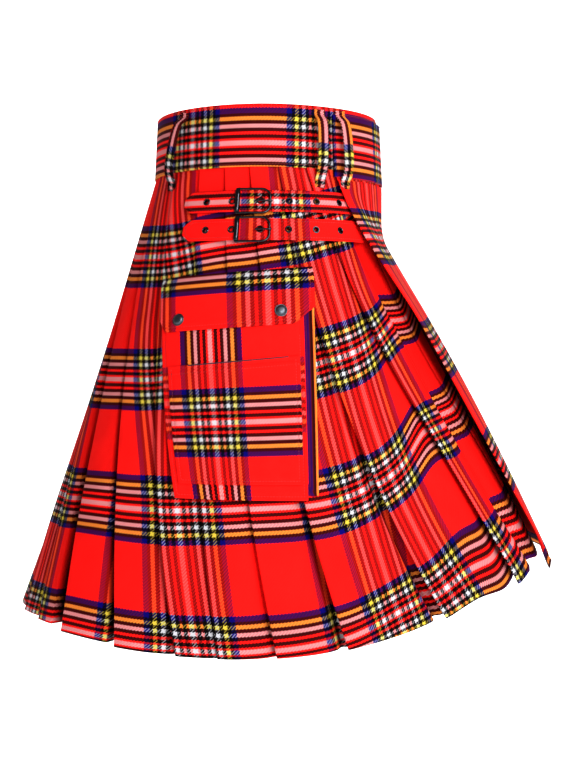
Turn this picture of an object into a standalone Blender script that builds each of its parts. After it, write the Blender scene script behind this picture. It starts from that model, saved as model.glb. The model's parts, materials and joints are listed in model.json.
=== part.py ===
"""A Scottish kilt, worn and held open: waistband, knife pleats, aprons, straps, buckles and a hip pocket.

Frame: +X is the wearer's front, +Y the wearer's left, +Z up, in metres.
The origin is the middle of the waistband ring, where the wearer's waist holds the kilt.
Directions round the body are angles in degrees: 0 front, 90 the wearer's right side, 180 back, 270 left.
Cloth walls follow one skirt surface, and each piece stands off it by its own offset.
"""
import math

import bmesh
import bpy
from mathutils import Vector

MM = 0.001

# Driving sizes
WAIST_FRONT, WAIST_BACK, WAIST_SIDE = 130.0 * MM, 135.0 * MM, 152.5 * MM       # from the axis
BAND_TAPER = 3.5 * MM              # the band is this much smaller in radius at its top edge
BAND_THICKNESS = 2.6 * MM
CLOTH = 1.5 * MM
SEAM_GAP = 0.3 * MM
SKIRT_TOP = -35.3 * MM             # the skirt widens from here

# Waistband: one strip, laid on from its inner end at the left front, round the back and over itself
BAND = [
    # direction, bottom mm, top mm
    (-45, -33, 36),
    (60, -31, 37),
    (95, -30, 38.5),
    (140, -32, 38),
    (180, -35, 37),
    (270, -40, 34.5),
    (330, -43, 33),
    (421, -43.5, 33),
]
BAND_STEP_START, BAND_STEP_END = 275.0, 305.0      # where it steps out to pass over its own inner end
BAND_SEGMENTS = 84

# The skirt's hem by direction, and how far it stands from the axis; the wearer's left mirrors the right
HEM = [
    # direction, radius mm, height mm
    (0, 315, -466),
    (23, 329, -470),
    (35, 326, -493),
    (45, 318, -499),
    (55, 314, -518),
    (75, 310, -539),
    (90, 310, -547),
    (107, 309, -547),
    (121, 308, -542),
    (135, 304, -534),
    (150, 299, -530),
    (180, 290, -528),
]
FRONT_DROP = 75.0 * MM             # the front hangs straight for this far before it flares
FRONT_SPREAD = 65.0                # degrees from the front at which that stops
FRONT_EASE = 0.7                   # share of that drop in which it turns
SIDE_SAG = 4.0 * MM                # cloth hollows in between waist and hem
FRONT_FULL = 9.0 * MM             # and stands out this much at the front instead

# Knife pleats: the direction of each folded edge at hem and waist, counted from the right apron
VISIBLE_FOLDS = [
    # hem, waist, bow
    (33.2, 74.0, 1.35),
    (53.4, 86.0, 1.0),
    (74.9, 98.0, 1.0),
    (88.4, 109.0, 1.0),
    (99.7, 122.0, 1.0),
    (108.0, 139.0, 1.0),
    (121.0, 157.0, 1.15),
    (135.0, 168.0, 1.15),
    (147.0, 178.0, 1.0),
    (158.0, 188.0, 1.0),
]
REST_FOLDS = 14                    # the remaining pleats, evenly spaced to the left apron edge
PLEAT_PANELS = ("pleats_right", "pleats_back", "pleats_left")
PANEL_ENDS = (8, 16)               # the pleats that end a panel; the seam hides in the inner fold
PLEATS_HEM_START, PLEATS_WAIST_START = 15.0, 46.0
PLEATS_HEM_END, PLEATS_WAIST_END = 337.0, 305.0
PLEAT_DEPTH_WAIST, PLEAT_DEPTH_HEM = 5.4 * MM, 13.0 * MM      # how far the under fold lies in
UNDERLAP_WAIST, UNDERLAP_HEM = 6.0 * MM, 17.0 * MM            # how far each pleat reaches under the next
FOLD_ROUND = 1.8 * MM              # cloth turns round at a fold in this depth
LEVELS = (0.0, 0.045, 0.09, 0.13, 0.18, 0.26, 0.4, 0.55, 0.7, 0.85, 1.0)     # rows of cloth from band to hem

# The outer apron's free edge, from the hem to the band on the wearer's right
FREE_EDGE = [
    # height, forward, to the left mm; the first and last rows only give the curve its slope there
    (-560, 367, -142),
    (-469, 317, -140),
    (-380, 268, -139),
    (-200, 168, -137),
    (-145, 132.5, -135),
    (-95, 101, -133),
    (-43.8, 78, -131),
    (20, 66, -130),
]
APRON_LAYER = 4.2 * MM             # the outer apron and its band lie this far outside the inner layer
APRON_ROUND = 6                    # how soon the apron comes back to the skirt behind its free edge
APRON_COLUMNS = 20
UNDER_APRON_INSET_WAIST, UNDER_APRON_INSET_HEM = 1.0 * MM, 4.0 * MM
UNDER_APRON_END = 318.0
UNDER_COLUMNS = 12



# Belt loops: direction at their top and foot, and the cloth layer below them
LOOP_WIDTH, LOOP_THICKNESS, LOOP_STAND = 12.5 * MM, 2.0 * MM, 11.0 * MM
LOOP_TOP, LOOP_FOOT = 34.0 * MM, -53.0 * MM
BELT_LOOPS = [
    # name, direction of its top, of its foot
    ("belt_loop_apron", 57.5, 56.0),
    ("belt_loop_right", 67.5, 68.5),
    ("belt_loop_back_right", 131.5, 139.0),
    ("belt_loop_back_left", 222.0, 220.0),
    ("belt_loop_left", 297.0, 295.0),
]

# Straps and buckles
STRAP_WIDTH, STRAP_THICKNESS = 24.0 * MM, 1.8 * MM
STRAP_BUCKLE_DIRECTION = 96.0
STRAP_TIP, STRAP_ROOT = 85.0 * MM, -138.0 * MM     # from the buckle's bar, the tip towards the back
STRAP_POINT = 11.0 * MM
STRAP_LIFT = [
    # distance from the bar mm, lift of the strap's middle mm
    (-140, 2.4),
    (-32, 2.3),
    (-17, 3.1),
    (0, 5.5),
    (12, 3.9),
    (30, 3.7),
    (44, 2.4),
    (86, 2.2),
]
EYELET_PITCH = 31.0 * MM
EYELET_FIRST = -8.0 * MM
EYELET_COUNTS = (3, 2)             # holes towards the apron and towards the tip, beside the one in use
EYELET_HOLE, EYELET_FLANGE, EYELET_HEIGHT = 5.0 * MM, 8.4 * MM, 0.9 * MM
STRAPS = [
    # name, height of its middle mm
    ("upper", -70.8),
    ("lower", -99.8),
]
FRAME_LENGTH, FRAME_HEIGHT, FRAME_WIRE = 38.0 * MM, 28.6 * MM, 2.0 * MM
FRAME_LIFT = 6.6 * MM
FRAME_BACK = 17.5 * MM             # the flat end lies this far behind the bar
BAR_LIFT = 2.75 * MM
TONGUE_WIRE = 2.0 * MM
TAB_LENGTH, TAB_WIDTH, TAB_THICKNESS = 30.0 * MM, 20.0 * MM, 1.0 * MM

# Hip pocket: corners as direction and height, and each layer's offset from the skirt
POCKET_TOP_BACK, POCKET_TOP_FRONT = (129.0, -155.0 * MM), (75.3, -142.5 * MM)
POCKET_FOOT_BACK, POCKET_FOOT_FRONT = (112.2, -389.0 * MM), (78.6, -390.5 * MM)
POCKET_LAYERS = [
    # name, left, right, top at its back and front, bottom (shares of the pocket), offset mm
    ("pocket_back", 0.0, 0.985, 0.0, 0.0, 0.985, 1.85),
    ("pocket_front", 0.0, 0.925, 0.055, 0.055, 1.0, 6.1),
    ("pocket_patch", 0.05, 0.895, 0.415, 0.385, 0.935, 8.3),
]
GUSSET_WIDTH = 0.11                # share of the pocket's width
GUSSET_SPAN = (0.01, 1.0, 0.08, 0.965)      # left, right, top, bottom
GUSSET_OFFSET = 3.97 * MM
POCKET_ASPECT = 0.7                # width over height
FLAP_DROP, FLAP_RISE, FLAP_CORNER = 0.255, 0.01, 0.05
FLAP_OFFSET_TOP, FLAP_OFFSET = 4.2 * MM, 8.4 * MM
SNAP_DIAMETER, SNAP_HEIGHT = 14.0 * MM, 3.0 * MM
SNAPS = [
    # name, across, down (shares of the pocket)
    ("snap_back", 0.14, 0.20),
    ("snap_front", 0.79, 0.185),
]

# name: colour, roughness, metallic
FINISHES = {
    "tartan": ((0.62, 0.03, 0.03), 0.85, 0.0),
    "gunmetal": ((0.06, 0.06, 0.07), 0.3, 1.0),
}


# Curves and surfaces -------------------------------------------------------------------------------

def smoothstep(value, start, end):
    """Ease from 0 at start to 1 at end."""
    share = min(1.0, max(0.0, (value - start) / (end - start)))
    return share * share * (3 - 2 * share)


def read_table(table, position, column):
    """Smooth curve through one column of a table whose first column rises."""
    last = len(table) - 1
    position = min(max(position, table[0][0]), table[last][0])
    row = next(i for i in range(last) if position <= table[i + 1][0])
    start, end = table[row], table[row + 1]
    span = end[0] - start[0]
    before = table[max(row - 1, 0)]
    after = table[min(row + 2, last)]
    slope_start = (end[column] - before[column]) / (end[0] - before[0]) if row > 0 else 0.0
    slope_end = (after[column] - start[column]) / (after[0] - start[0]) if row + 2 <= last else 0.0
    u = (position - start[0]) / span
    return ((2 * u**3 - 3 * u**2 + 1) * start[column] + (u**3 - 2 * u**2 + u) * span * slope_start
            + (3 * u**2 - 2 * u**3) * end[column] + (u**3 - u**2) * span * slope_end)


def fold_back(direction):
    """The same direction on the wearer's right half, where the tables are."""
    direction = direction % 360
    return 360 - direction if direction > 180 else direction


def waist_radius(direction):
    ahead, side = math.cos(math.radians(direction)), math.sin(math.radians(direction))
    return 1 / math.hypot(ahead / (WAIST_FRONT if ahead > 0 else WAIST_BACK), side / WAIST_SIDE)


def band_bottom(direction):
    return read_table(BAND, direction, 1) * MM


def hem_height(direction):
    return read_table(HEM, fold_back(direction), 2) * MM


def skirt_radius(direction, height):
    """How far the skirt stands from the axis at a height: straight from waist to hem, hollowed a little."""
    side = fold_back(direction)
    front = math.cos(math.radians(min(side / FRONT_SPREAD, 1) * 90))
    drop = FRONT_DROP * front
    ease = FRONT_EASE * drop
    fallen = max(0.0, SKIRT_TOP - drop + ease / 2 - height)
    run = fallen**2 / (2 * ease) if fallen < ease else fallen - ease / 2
    share = min(1.0, run / (SKIRT_TOP - drop - hem_height(direction)))
    waist, hem = waist_radius(direction), read_table(HEM, side, 1) * MM
    return waist + (hem - waist) * share + (FRONT_FULL * front - SIDE_SAG) * math.sin(math.pi * share)


def around(direction, radius, height):
    """A point from its direction, distance from the axis and height."""
    angle = math.radians(direction)
    return Vector((radius * math.cos(angle), -radius * math.sin(angle), height))


def skirt_point(direction, height, offset=0.0):
    return around(direction, skirt_radius(direction, height) + offset, height)


def skirt_at(direction, share, offset=0.0):
    """A point of the skirt at a share of the way from band to hem."""
    top = band_bottom(direction) - SEAM_GAP
    return skirt_point(direction, top + (hem_height(direction) - top) * share, offset)


def walk(direction, height, distance):
    """The direction reached by going a distance towards the back at one height."""
    step = math.copysign(1.0 * MM, distance)
    for _ in range(int(abs(distance) / MM)):
        here = skirt_point(direction, height)
        ahead = skirt_point(direction + 0.1, height)
        direction += 0.1 * step / (ahead - here).length
    return direction


# Meshes --------------------------------------------------------------------------------------------

def material(name):
    found = bpy.data.materials.get(name)
    if found:
        return found
    colour, roughness, metallic = FINISHES[name.split("__")[0]]
    new = bpy.data.materials.new(name)
    new.use_nodes = True
    shader = new.node_tree.nodes["Principled BSDF"]
    shader.inputs["Base Color"].default_value = (*colour, 1)
    shader.inputs["Roughness"].default_value = roughness
    shader.inputs["Metallic"].default_value = metallic
    return new


def place(mesh, name, finish):
    """Make the object of a mesh, with its own material, in the kilt's collection."""
    item = bpy.data.objects.new(name, mesh)
    mesh.materials.append(material(f"{finish}__{name}"))
    kilt.objects.link(item)
    return item


def grid_mesh(name, rows):
    """An open sheet through rows of points."""
    mesh = bpy.data.meshes.new(name)
    width = len(rows[0])
    faces = [(r * width + c, r * width + c + 1, (r + 1) * width + c + 1, (r + 1) * width + c)
             for r in range(len(rows) - 1) for c in range(width - 1)]
    mesh.from_pydata([point for row in rows for point in row], [], faces)
    mesh.update()
    return mesh


def wall(name, rows, thickness=CLOTH, finish="tartan"):
    """A cloth wall: an open sheet with thickness, half to each side."""
    item = place(grid_mesh(name, rows), name, finish)
    solid = item.modifiers.new("Cloth thickness", "SOLIDIFY")
    solid.thickness = thickness
    solid.offset = 0.0
    return item


def shares(count):
    return [index / (count - 1) for index in range(count)]


# Skirt ---------------------------------------------------------------------------------------------

def fold_lines():
    """Hem direction, waist direction and bow of every pleat's folded edge."""
    lines = list(VISIBLE_FOLDS)
    hem, waist, _ = lines[-1]
    hem_step = (PLEATS_HEM_END - hem) / (REST_FOLDS + 1)
    waist_step = (PLEATS_WAIST_END - waist) / (REST_FOLDS + 1)
    lines += [(hem + hem_step * n, waist + waist_step * n, 1.0) for n in range(1, REST_FOLDS + 1)]
    return lines


def line_direction(line, share):
    hem, waist, bow = line
    return hem + (waist - hem) * (1 - share) ** bow


def pleat_rows(share):
    """One level of the pleated wall, from under the right apron round to the left, as a row for each panel."""
    depth = PLEAT_DEPTH_WAIST + (PLEAT_DEPTH_HEM - PLEAT_DEPTH_WAIST) * share
    underlap = UNDERLAP_WAIST + (UNDERLAP_HEM - UNDERLAP_WAIST) * share
    start = line_direction((PLEATS_HEM_START, PLEATS_WAIST_START, 1.0), share)
    end = line_direction((PLEATS_HEM_END, PLEATS_WAIST_END, 1.0), share)
    row = [skirt_at(start, share, -under_inset(share))]
    rows = [row]
    previous = start
    inset = under_inset(share)
    for number, line in enumerate(fold_lines(), 1):
        edge = line_direction(line, share)
        for part in (0.3, 0.65):
            middle = previous + (edge - previous) * part
            row.append(skirt_at(middle, share, -inset * (1 - part)))
        turn = math.degrees(FOLD_ROUND / 2 / skirt_radius(edge, hem_height(edge)))
        row.append(skirt_at(edge - turn, share, 0.0))
        row.append(skirt_at(edge - turn, share, -FOLD_ROUND))
        back = edge - math.degrees(underlap / skirt_at(edge, share).xy.length)
        row.append(skirt_at(back, share, FOLD_ROUND - depth))
        if number in PANEL_ENDS:
            row.append(skirt_at(back, share, CLOTH / 2 + 2 * SEAM_GAP - depth))
            row = []
            rows.append(row)
        row.append(skirt_at(back, share, -depth))
        previous, inset = back, depth
    middle = (previous + end) / 2
    row.append(skirt_at(middle, share, -inset / 2))
    row.append(skirt_at(end, share, 0.0))
    return rows


def under_inset(share):
    return UNDER_APRON_INSET_WAIST + (UNDER_APRON_INSET_HEM - UNDER_APRON_INSET_WAIST) * share


def make_pleats():
    levels = [pleat_rows(share) for share in LEVELS]
    for number, name in enumerate(PLEAT_PANELS):
        wall(name, [rows[number] for rows in levels])


def make_under_apron():
    """The inner front, which runs on from the pleats under the outer apron."""
    rows = []
    for share in LEVELS:
        start = line_direction((PLEATS_HEM_START, PLEATS_WAIST_START, 1.0), share)
        start -= math.degrees(SEAM_GAP / skirt_at(start, share).xy.length)
        end = UNDER_APRON_END - 360 + 20 * share
        rows.append([skirt_at(start + (end - start) * across, share, -under_inset(share) - 3 * MM * across)
                     for across in shares(UNDER_COLUMNS)])
    wall("under_apron", rows)


def apron_edge(share):
    """A point on the outer apron's free edge."""
    foot, top = FREE_EDGE[1][0], FREE_EDGE[-2][0]
    height = top + (foot - top) * share
    return Vector((read_table(FREE_EDGE, height, 1), read_table(FREE_EDGE, height, 2), height)) * MM


def apron_span(share):
    """The outer apron's first and last direction, in the band's outer turn."""
    edge = apron_edge(share)
    end = line_direction((PLEATS_HEM_END, PLEATS_WAIST_END, 1.0), share)
    end += math.degrees(SEAM_GAP / skirt_at(end, share).xy.length)
    return 360 + math.degrees(math.atan2(-edge.y, edge.x)), end


def apron_point(across, share):
    """A point on the outer apron: across runs from its free edge round the front to the left pleats."""
    edge = apron_edge(share)
    start, end = apron_span(share)
    base = skirt_at(start + (end - start) * across, share)
    edge_base = skirt_at(start, share)
    lift = edge.xy.length - edge_base.xy.length - APRON_LAYER
    layer = APRON_LAYER * (1 - smoothstep(across, 0.8, 1.0))
    out = Vector((base.x, base.y, 0)).normalized() * (lift * (1 - across) ** APRON_ROUND + layer)
    return base + out + Vector((0, 0, (edge.z - edge_base.z) * (1 - across) ** 2))


def apron_radius(direction, height):
    """How far the outer apron stands from the axis: the share down is corrected until it meets the height."""
    top = band_bottom(360 + direction) - SEAM_GAP
    length = top - hem_height(direction)
    share = (top - height) / length
    for _ in range(4):
        start, end = apron_span(share)
        point = apron_point((360 + direction - start) / (end - start), share)
        share += (point.z - height) / length
    return point.xy.length


def make_apron():
    rows = [[apron_point(across, share) for across in shares(APRON_COLUMNS)] for share in LEVELS]
    wall("apron", rows)


# Waistband and belt loops --------------------------------------------------------------------------

def band_point(direction, height, offset):
    taper = BAND_TAPER * (height - SKIRT_TOP) / (-2 * SKIRT_TOP)
    return around(direction, waist_radius(direction) - taper + offset, height)


def band_layer(direction):
    """The band steps outwards at the wearer's left, to pass over its own inner end."""
    return APRON_LAYER * smoothstep(direction, BAND_STEP_START, BAND_STEP_END)


def make_waistband():
    inner_end, outer_end = BAND[0][0], BAND[-1][0]
    directions = [inner_end + (outer_end - inner_end) * part for part in shares(BAND_SEGMENTS)]
    rows = []
    for up in shares(3):
        row = []
        for direction in directions:
            bottom, top = band_bottom(direction), read_table(BAND, direction, 2) * MM
            row.append(band_point(direction, bottom + (top - bottom) * up, band_layer(direction)))
        rows.append(row)
    wall("waistband", rows, BAND_THICKNESS)


def make_belt_loop(name, top, foot):
    """A strip that stands off the band between its two sewn ends."""
    on_apron = name == "belt_loop_apron"
    layer = APRON_LAYER if on_apron else band_layer(top)
    on_band = BAND_THICKNESS / 2 + SEAM_GAP + LOOP_THICKNESS / 2 + layer
    profile = [
        # height, stand-off from the layer below
        (LOOP_TOP, on_band),
        (LOOP_TOP - 6 * MM, on_band),
        (LOOP_TOP - 13 * MM, on_band + LOOP_STAND * 0.7),
        (LOOP_TOP - 24 * MM, on_band + LOOP_STAND),
        (LOOP_TOP - 45 * MM, on_band + LOOP_STAND * 1.1),
        (LOOP_TOP - 64 * MM, on_band + LOOP_STAND),
        (LOOP_FOOT + 14 * MM, on_band + LOOP_STAND * 0.6),
        (LOOP_FOOT + 8 * MM, on_band + 0.4 * MM),
        (LOOP_FOOT, on_band + 0.4 * MM),
    ]
    rows = []
    for height, stand in profile:
        part = (LOOP_TOP - height) / (LOOP_TOP - LOOP_FOOT)
        middle = top + (foot - top) * part
        half = math.degrees(LOOP_WIDTH / 2 / waist_radius(middle))
        row = []
        for side in (-half, half):
            if height > LOOP_FOOT + 9 * MM:
                row.append(band_point(middle + side, height, stand))
            elif on_apron:
                radius = apron_radius(middle + side, height)
                row.append(around(middle + side, radius + stand - layer, height))
            else:
                row.append(skirt_point(middle + side, height, stand))
        rows.append(row)
    wall(name, rows, LOOP_THICKNESS)


# Straps and buckles --------------------------------------------------------------------------------

def strap_point(distance, across, lift, height):
    """A point over the strap's run: distance from the bar towards the back, across its width, and lift."""
    direction = walk(STRAP_BUCKLE_DIRECTION, height, distance)
    return skirt_point(direction, height + across, lift)


def strap_lift(distance):
    return read_table(STRAP_LIFT, distance / MM, 1) * MM


def bend(mesh, height, follow_lift):
    """Lay a flat mesh (x along the strap, y across, z off the cloth) on the skirt."""
    for vertex in mesh.vertices:
        along, across, off = vertex.co
        lift = off + (strap_lift(along) if follow_lift else 0.0)
        vertex.co = strap_point(along, across, lift, height)
    mesh.flip_normals()                # the run goes towards the back, which mirrors the flat sheet


def evaluated_mesh(item):
    graph = bpy.context.evaluated_depsgraph_get()
    return bpy.data.meshes.new_from_object(item.evaluated_get(graph))


def discard(*items):
    for item in items:
        bpy.data.objects.remove(item)


def eyelet_places():
    before, after = EYELET_COUNTS
    return [EYELET_FIRST + EYELET_PITCH * n for n in range(-before, after + 1)]


def make_strap(name, height):
    """A pointed strap with a hole for every eyelet, cut flat and then laid on the skirt."""
    sheet = bmesh.new()
    length = STRAP_TIP - STRAP_ROOT
    bmesh.ops.create_grid(sheet, x_segments=34, y_segments=2, size=0.5)
    for vertex in sheet.verts:
        along = STRAP_ROOT + (vertex.co.x + 0.5) * length
        across = vertex.co.y * STRAP_WIDTH
        point = max(0.0, along - (STRAP_TIP - STRAP_POINT)) / STRAP_POINT
        vertex.co = (along, across * (1 - 0.62 * point), 0)
    mesh = bpy.data.meshes.new(name)
    sheet.to_mesh(mesh)
    sheet.free()
    flat = bpy.data.objects.new("flat", mesh)
    kilt.objects.link(flat)
    solid = flat.modifiers.new("Cloth thickness", "SOLIDIFY")
    solid.thickness, solid.offset = STRAP_THICKNESS, 0.0
    drills = []
    for place_along in eyelet_places():
        bpy.ops.mesh.primitive_cylinder_add(vertices=12, radius=EYELET_HOLE / 2, depth=10 * MM,
                                            location=(place_along, 0, 0))
        drill = bpy.context.object
        cut = flat.modifiers.new("Eyelet hole", "BOOLEAN")
        cut.operation, cut.object = "DIFFERENCE", drill
        drills.append(drill)
    bpy.context.view_layer.update()
    finished = evaluated_mesh(flat)
    discard(flat, *drills)
    bend(finished, height, follow_lift=True)
    finished.name = name
    finished.materials.clear()
    place(finished, name, "tartan")


def make_eyelet(name, distance, height):
    """A flanged ring on the strap's outer face."""
    inner, outer = EYELET_HOLE / 2, EYELET_FLANGE / 2
    bottom = STRAP_THICKNESS / 2 + SEAM_GAP / 2
    ring = bmesh.new()
    profile = [(inner, bottom), (outer, bottom), (outer - 0.5 * MM, bottom + EYELET_HEIGHT),
               (inner + 0.3 * MM, bottom + EYELET_HEIGHT)]
    sides = 12
    points = [[ring.verts.new((distance + radius * math.cos(math.tau * n / sides),
                               radius * math.sin(math.tau * n / sides), off)) for radius, off in profile]
              for n in range(sides)]
    for n in range(sides):
        here, ahead = points[n], points[(n + 1) % sides]
        for k in range(len(profile)):
            after = (k + 1) % len(profile)
            ring.faces.new((here[k], here[after], ahead[after], ahead[k]))
    bmesh.ops.recalc_face_normals(ring, faces=ring.faces)
    mesh = bpy.data.meshes.new(name)
    ring.to_mesh(mesh)
    ring.free()
    bend(mesh, height, follow_lift=True)
    place(mesh, name, "gunmetal")


def wire(name, points, closed, radius, finish="gunmetal", resolution=1):
    """A round wire along points."""
    curve = bpy.data.curves.new(name, "CURVE")
    curve.dimensions = "3D"
    curve.bevel_depth, curve.bevel_resolution = radius, resolution
    curve.use_fill_caps = True
    spline = curve.splines.new("POLY")
    spline.points.add(len(points) - 1)
    for target, point in zip(spline.points, points):
        target.co = (*point, 1)
    spline.use_cyclic_u = closed
    curve.materials.append(material(f"{finish}__{name}"))
    item = bpy.data.objects.new(name, curve)
    kilt.objects.link(item)
    return item


def frame_outline():
    """The buckle frame in strap coordinates: a straight end, two sides and a round end."""
    half = FRAME_HEIGHT / 2 - FRAME_WIRE / 2
    back = FRAME_BACK
    front = FRAME_BACK - FRAME_LENGTH + FRAME_WIRE
    corner = 9.0 * MM
    outline = [(back, -half + 2 * MM), (back, 0.0), (back, half - 2 * MM), (back - 2 * MM, half)]
    outline.append((0.0, half))
    for turn in range(0, 91, 18):
        angle = math.radians(turn)
        outline.append((front + corner - corner * math.sin(angle), half - corner + corner * math.cos(angle)))
    for turn in range(90, -1, -18):
        angle = math.radians(turn)
        outline.append((front + corner - corner * math.sin(angle), -half + corner - corner * math.cos(angle)))
    outline += [(0.0, -half), (back - 2 * MM, -half)]
    return outline


def make_buckle(name, height):
    frame = [strap_point(along, across, FRAME_LIFT, height) for along, across in frame_outline()]
    wire(f"buckle_frame_{name}", frame, True, FRAME_WIRE / 2)
    reach = FRAME_HEIGHT / 2 - FRAME_WIRE - SEAM_GAP
    bar = [strap_point(0.0, across, BAR_LIFT, height) for across in (-reach, reach)]
    wire(f"buckle_bar_{name}", bar, False, 1.1 * MM)
    over = FRAME_LIFT + FRAME_WIRE / 2 + TONGUE_WIRE / 2 + SEAM_GAP
    front = FRAME_BACK - FRAME_LENGTH + FRAME_WIRE
    tongue = [
        # along the strap, lift
        (-3.5 * MM, 8.5 * MM),
        (-9.0 * MM, 8.6 * MM),
        (-14.0 * MM, 8.7 * MM),
        (front, over),
        (front - 2.5 * MM, over - 0.6 * MM),
    ]
    wire(f"buckle_tongue_{name}", [strap_point(along, 0.0, lift, height) for along, lift in tongue],
         False, TONGUE_WIRE / 2)
    rows = [[strap_point(along, across, 1.55 * MM, height) for across in (-TAB_WIDTH / 2, 0, TAB_WIDTH / 2)]
            for along in (2.2 * MM, TAB_LENGTH / 2, TAB_LENGTH)]
    wall(f"buckle_tab_{name}", rows, TAB_THICKNESS)


# Pocket --------------------------------------------------------------------------------------------

def pocket_point(across, down, offset):
    """A point over the pocket: across from its back edge, down from its seam, as shares."""
    corners = (POCKET_TOP_BACK, POCKET_TOP_FRONT, POCKET_FOOT_BACK, POCKET_FOOT_FRONT)
    weights = ((1 - across) * (1 - down), across * (1 - down), (1 - across) * down, across * down)
    direction = sum(weight * corner[0] for weight, corner in zip(weights, corners))
    height = sum(weight * corner[1] for weight, corner in zip(weights, corners))
    return skirt_point(direction, height, offset)


def make_pocket_panels():
    for name, left, right, top_back, top_front, bottom, offset in POCKET_LAYERS:
        rows = []
        for down in shares(8):
            row = []
            for across in shares(9):
                top = top_back + (top_front - top_back) * across
                row.append(pocket_point(left + (right - left) * across, top + (bottom - top) * down, offset * MM))
            rows.append(row)
        wall(name, rows)


def make_gusset():
    """The folded side strip, in a U between the pocket's back and front."""
    left, right, top, bottom = GUSSET_SPAN
    inner_left, inner_right = left + GUSSET_WIDTH, right - GUSSET_WIDTH
    inner_bottom = bottom - GUSSET_WIDTH * POCKET_ASPECT
    rows = []
    for part in shares(7):
        outside = (left, top + (bottom - top) * part)
        inside = (inner_left, top + (inner_bottom - top) * part)
        rows.append((outside, inside))
    for part in shares(10)[1:-1]:
        rows.append(((left + (right - left) * part, bottom),
                     (inner_left + (inner_right - inner_left) * part, inner_bottom)))
    for part in shares(7):
        outside = (right, bottom + (top - bottom) * part)
        inside = (inner_right, inner_bottom + (top - inner_bottom) * part)
        rows.append((outside, inside))
    wall("pocket_gusset", [[pocket_point(*outside, GUSSET_OFFSET), pocket_point(*inside, GUSSET_OFFSET)]
                           for outside, inside in rows])


def flap_edge(across):
    """How far down the flap reaches: its two lower corners are cut off."""
    cut = max(0.0, 1 - across / FLAP_CORNER, 1 - (1 - across) / (2 * FLAP_CORNER))
    return FLAP_DROP - FLAP_RISE * across - FLAP_CORNER * min(1.0, cut)


def make_flap():
    rows = []
    steps = [0.0, FLAP_CORNER / 2, FLAP_CORNER, 0.125, 0.25, 0.375, 0.5, 0.625, 0.75, 0.84,
             1 - 2 * FLAP_CORNER, 1 - FLAP_CORNER, 1.0]
    for down in shares(6):
        offset = FLAP_OFFSET_TOP + (FLAP_OFFSET - FLAP_OFFSET_TOP) * smoothstep(down, 0.0, 0.2)
        rows.append([pocket_point(across, flap_edge(across) * down, offset) for across in steps])
    wall("pocket_flap", rows)


def make_snap(name, across, down):
    """A domed cap on the flap."""
    middle = pocket_point(across, down, FLAP_OFFSET + CLOTH / 2 + SEAM_GAP)
    side = pocket_point(across + 0.02, down, FLAP_OFFSET + CLOTH / 2 + SEAM_GAP) - middle
    below = pocket_point(across, down + 0.02, FLAP_OFFSET + CLOTH / 2 + SEAM_GAP) - middle
    outward = below.cross(side).normalized()
    bpy.ops.mesh.primitive_uv_sphere_add(segments=14, ring_count=8, radius=SNAP_DIAMETER / 2)
    dome = bpy.context.object
    mesh = dome.data
    spin = outward.to_track_quat("Z", "Y")
    for vertex in mesh.vertices:
        low = max(vertex.co.z, 0.0) * SNAP_HEIGHT / (SNAP_DIAMETER / 2)
        vertex.co = middle + spin @ Vector((vertex.co.x, vertex.co.y, low))
    flat = bmesh.new()
    flat.from_mesh(mesh)
    bmesh.ops.remove_doubles(flat, verts=flat.verts, dist=0.01 * MM)
    flat.to_mesh(mesh)
    flat.free()
    copy = mesh.copy()
    discard(dome)
    copy.name = name
    place(copy, name, "gunmetal")


# Build ---------------------------------------------------------------------------------------------

for leftover in list(bpy.data.objects):
    bpy.data.objects.remove(leftover)
kilt = bpy.data.collections.new("kilt")
bpy.context.scene.collection.children.link(kilt)

make_waistband()
make_pleats()
make_under_apron()
make_apron()
for loop in BELT_LOOPS:
    make_belt_loop(*loop)
for strap_name, strap_height in STRAPS:
    make_strap(f"strap_{strap_name}", strap_height * MM)
    for number, distance in enumerate(eyelet_places(), 1):
        make_eyelet(f"eyelet_{strap_name}_{number}", distance, strap_height * MM)
    make_buckle(strap_name, strap_height * MM)
make_pocket_panels()
make_gusset()
make_flap()
for snap in SNAPS:
    make_snap(*snap)
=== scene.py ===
# %% [markdown]
# # A Scottish kilt in red check cloth
#
# A kilt is one long strip of tartan. Its middle is pressed into knife pleats, its two plain ends lie over
# each other as aprons, and a wide waistband holds the folds flat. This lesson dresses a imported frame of
# simple solids: every cloth wall is made again with finer folds, woven stripes, seams and stitches.
#
# The frame has +X at the wearer's front, +Y at the wearer's left and +Z up, in metres. A direction round
# the body is an angle in degrees: 0 front, 90 the wearer's right side, 180 back.

# %% Load the frame
import json
import math

import bmesh
import bpy
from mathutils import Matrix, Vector, noise

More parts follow.
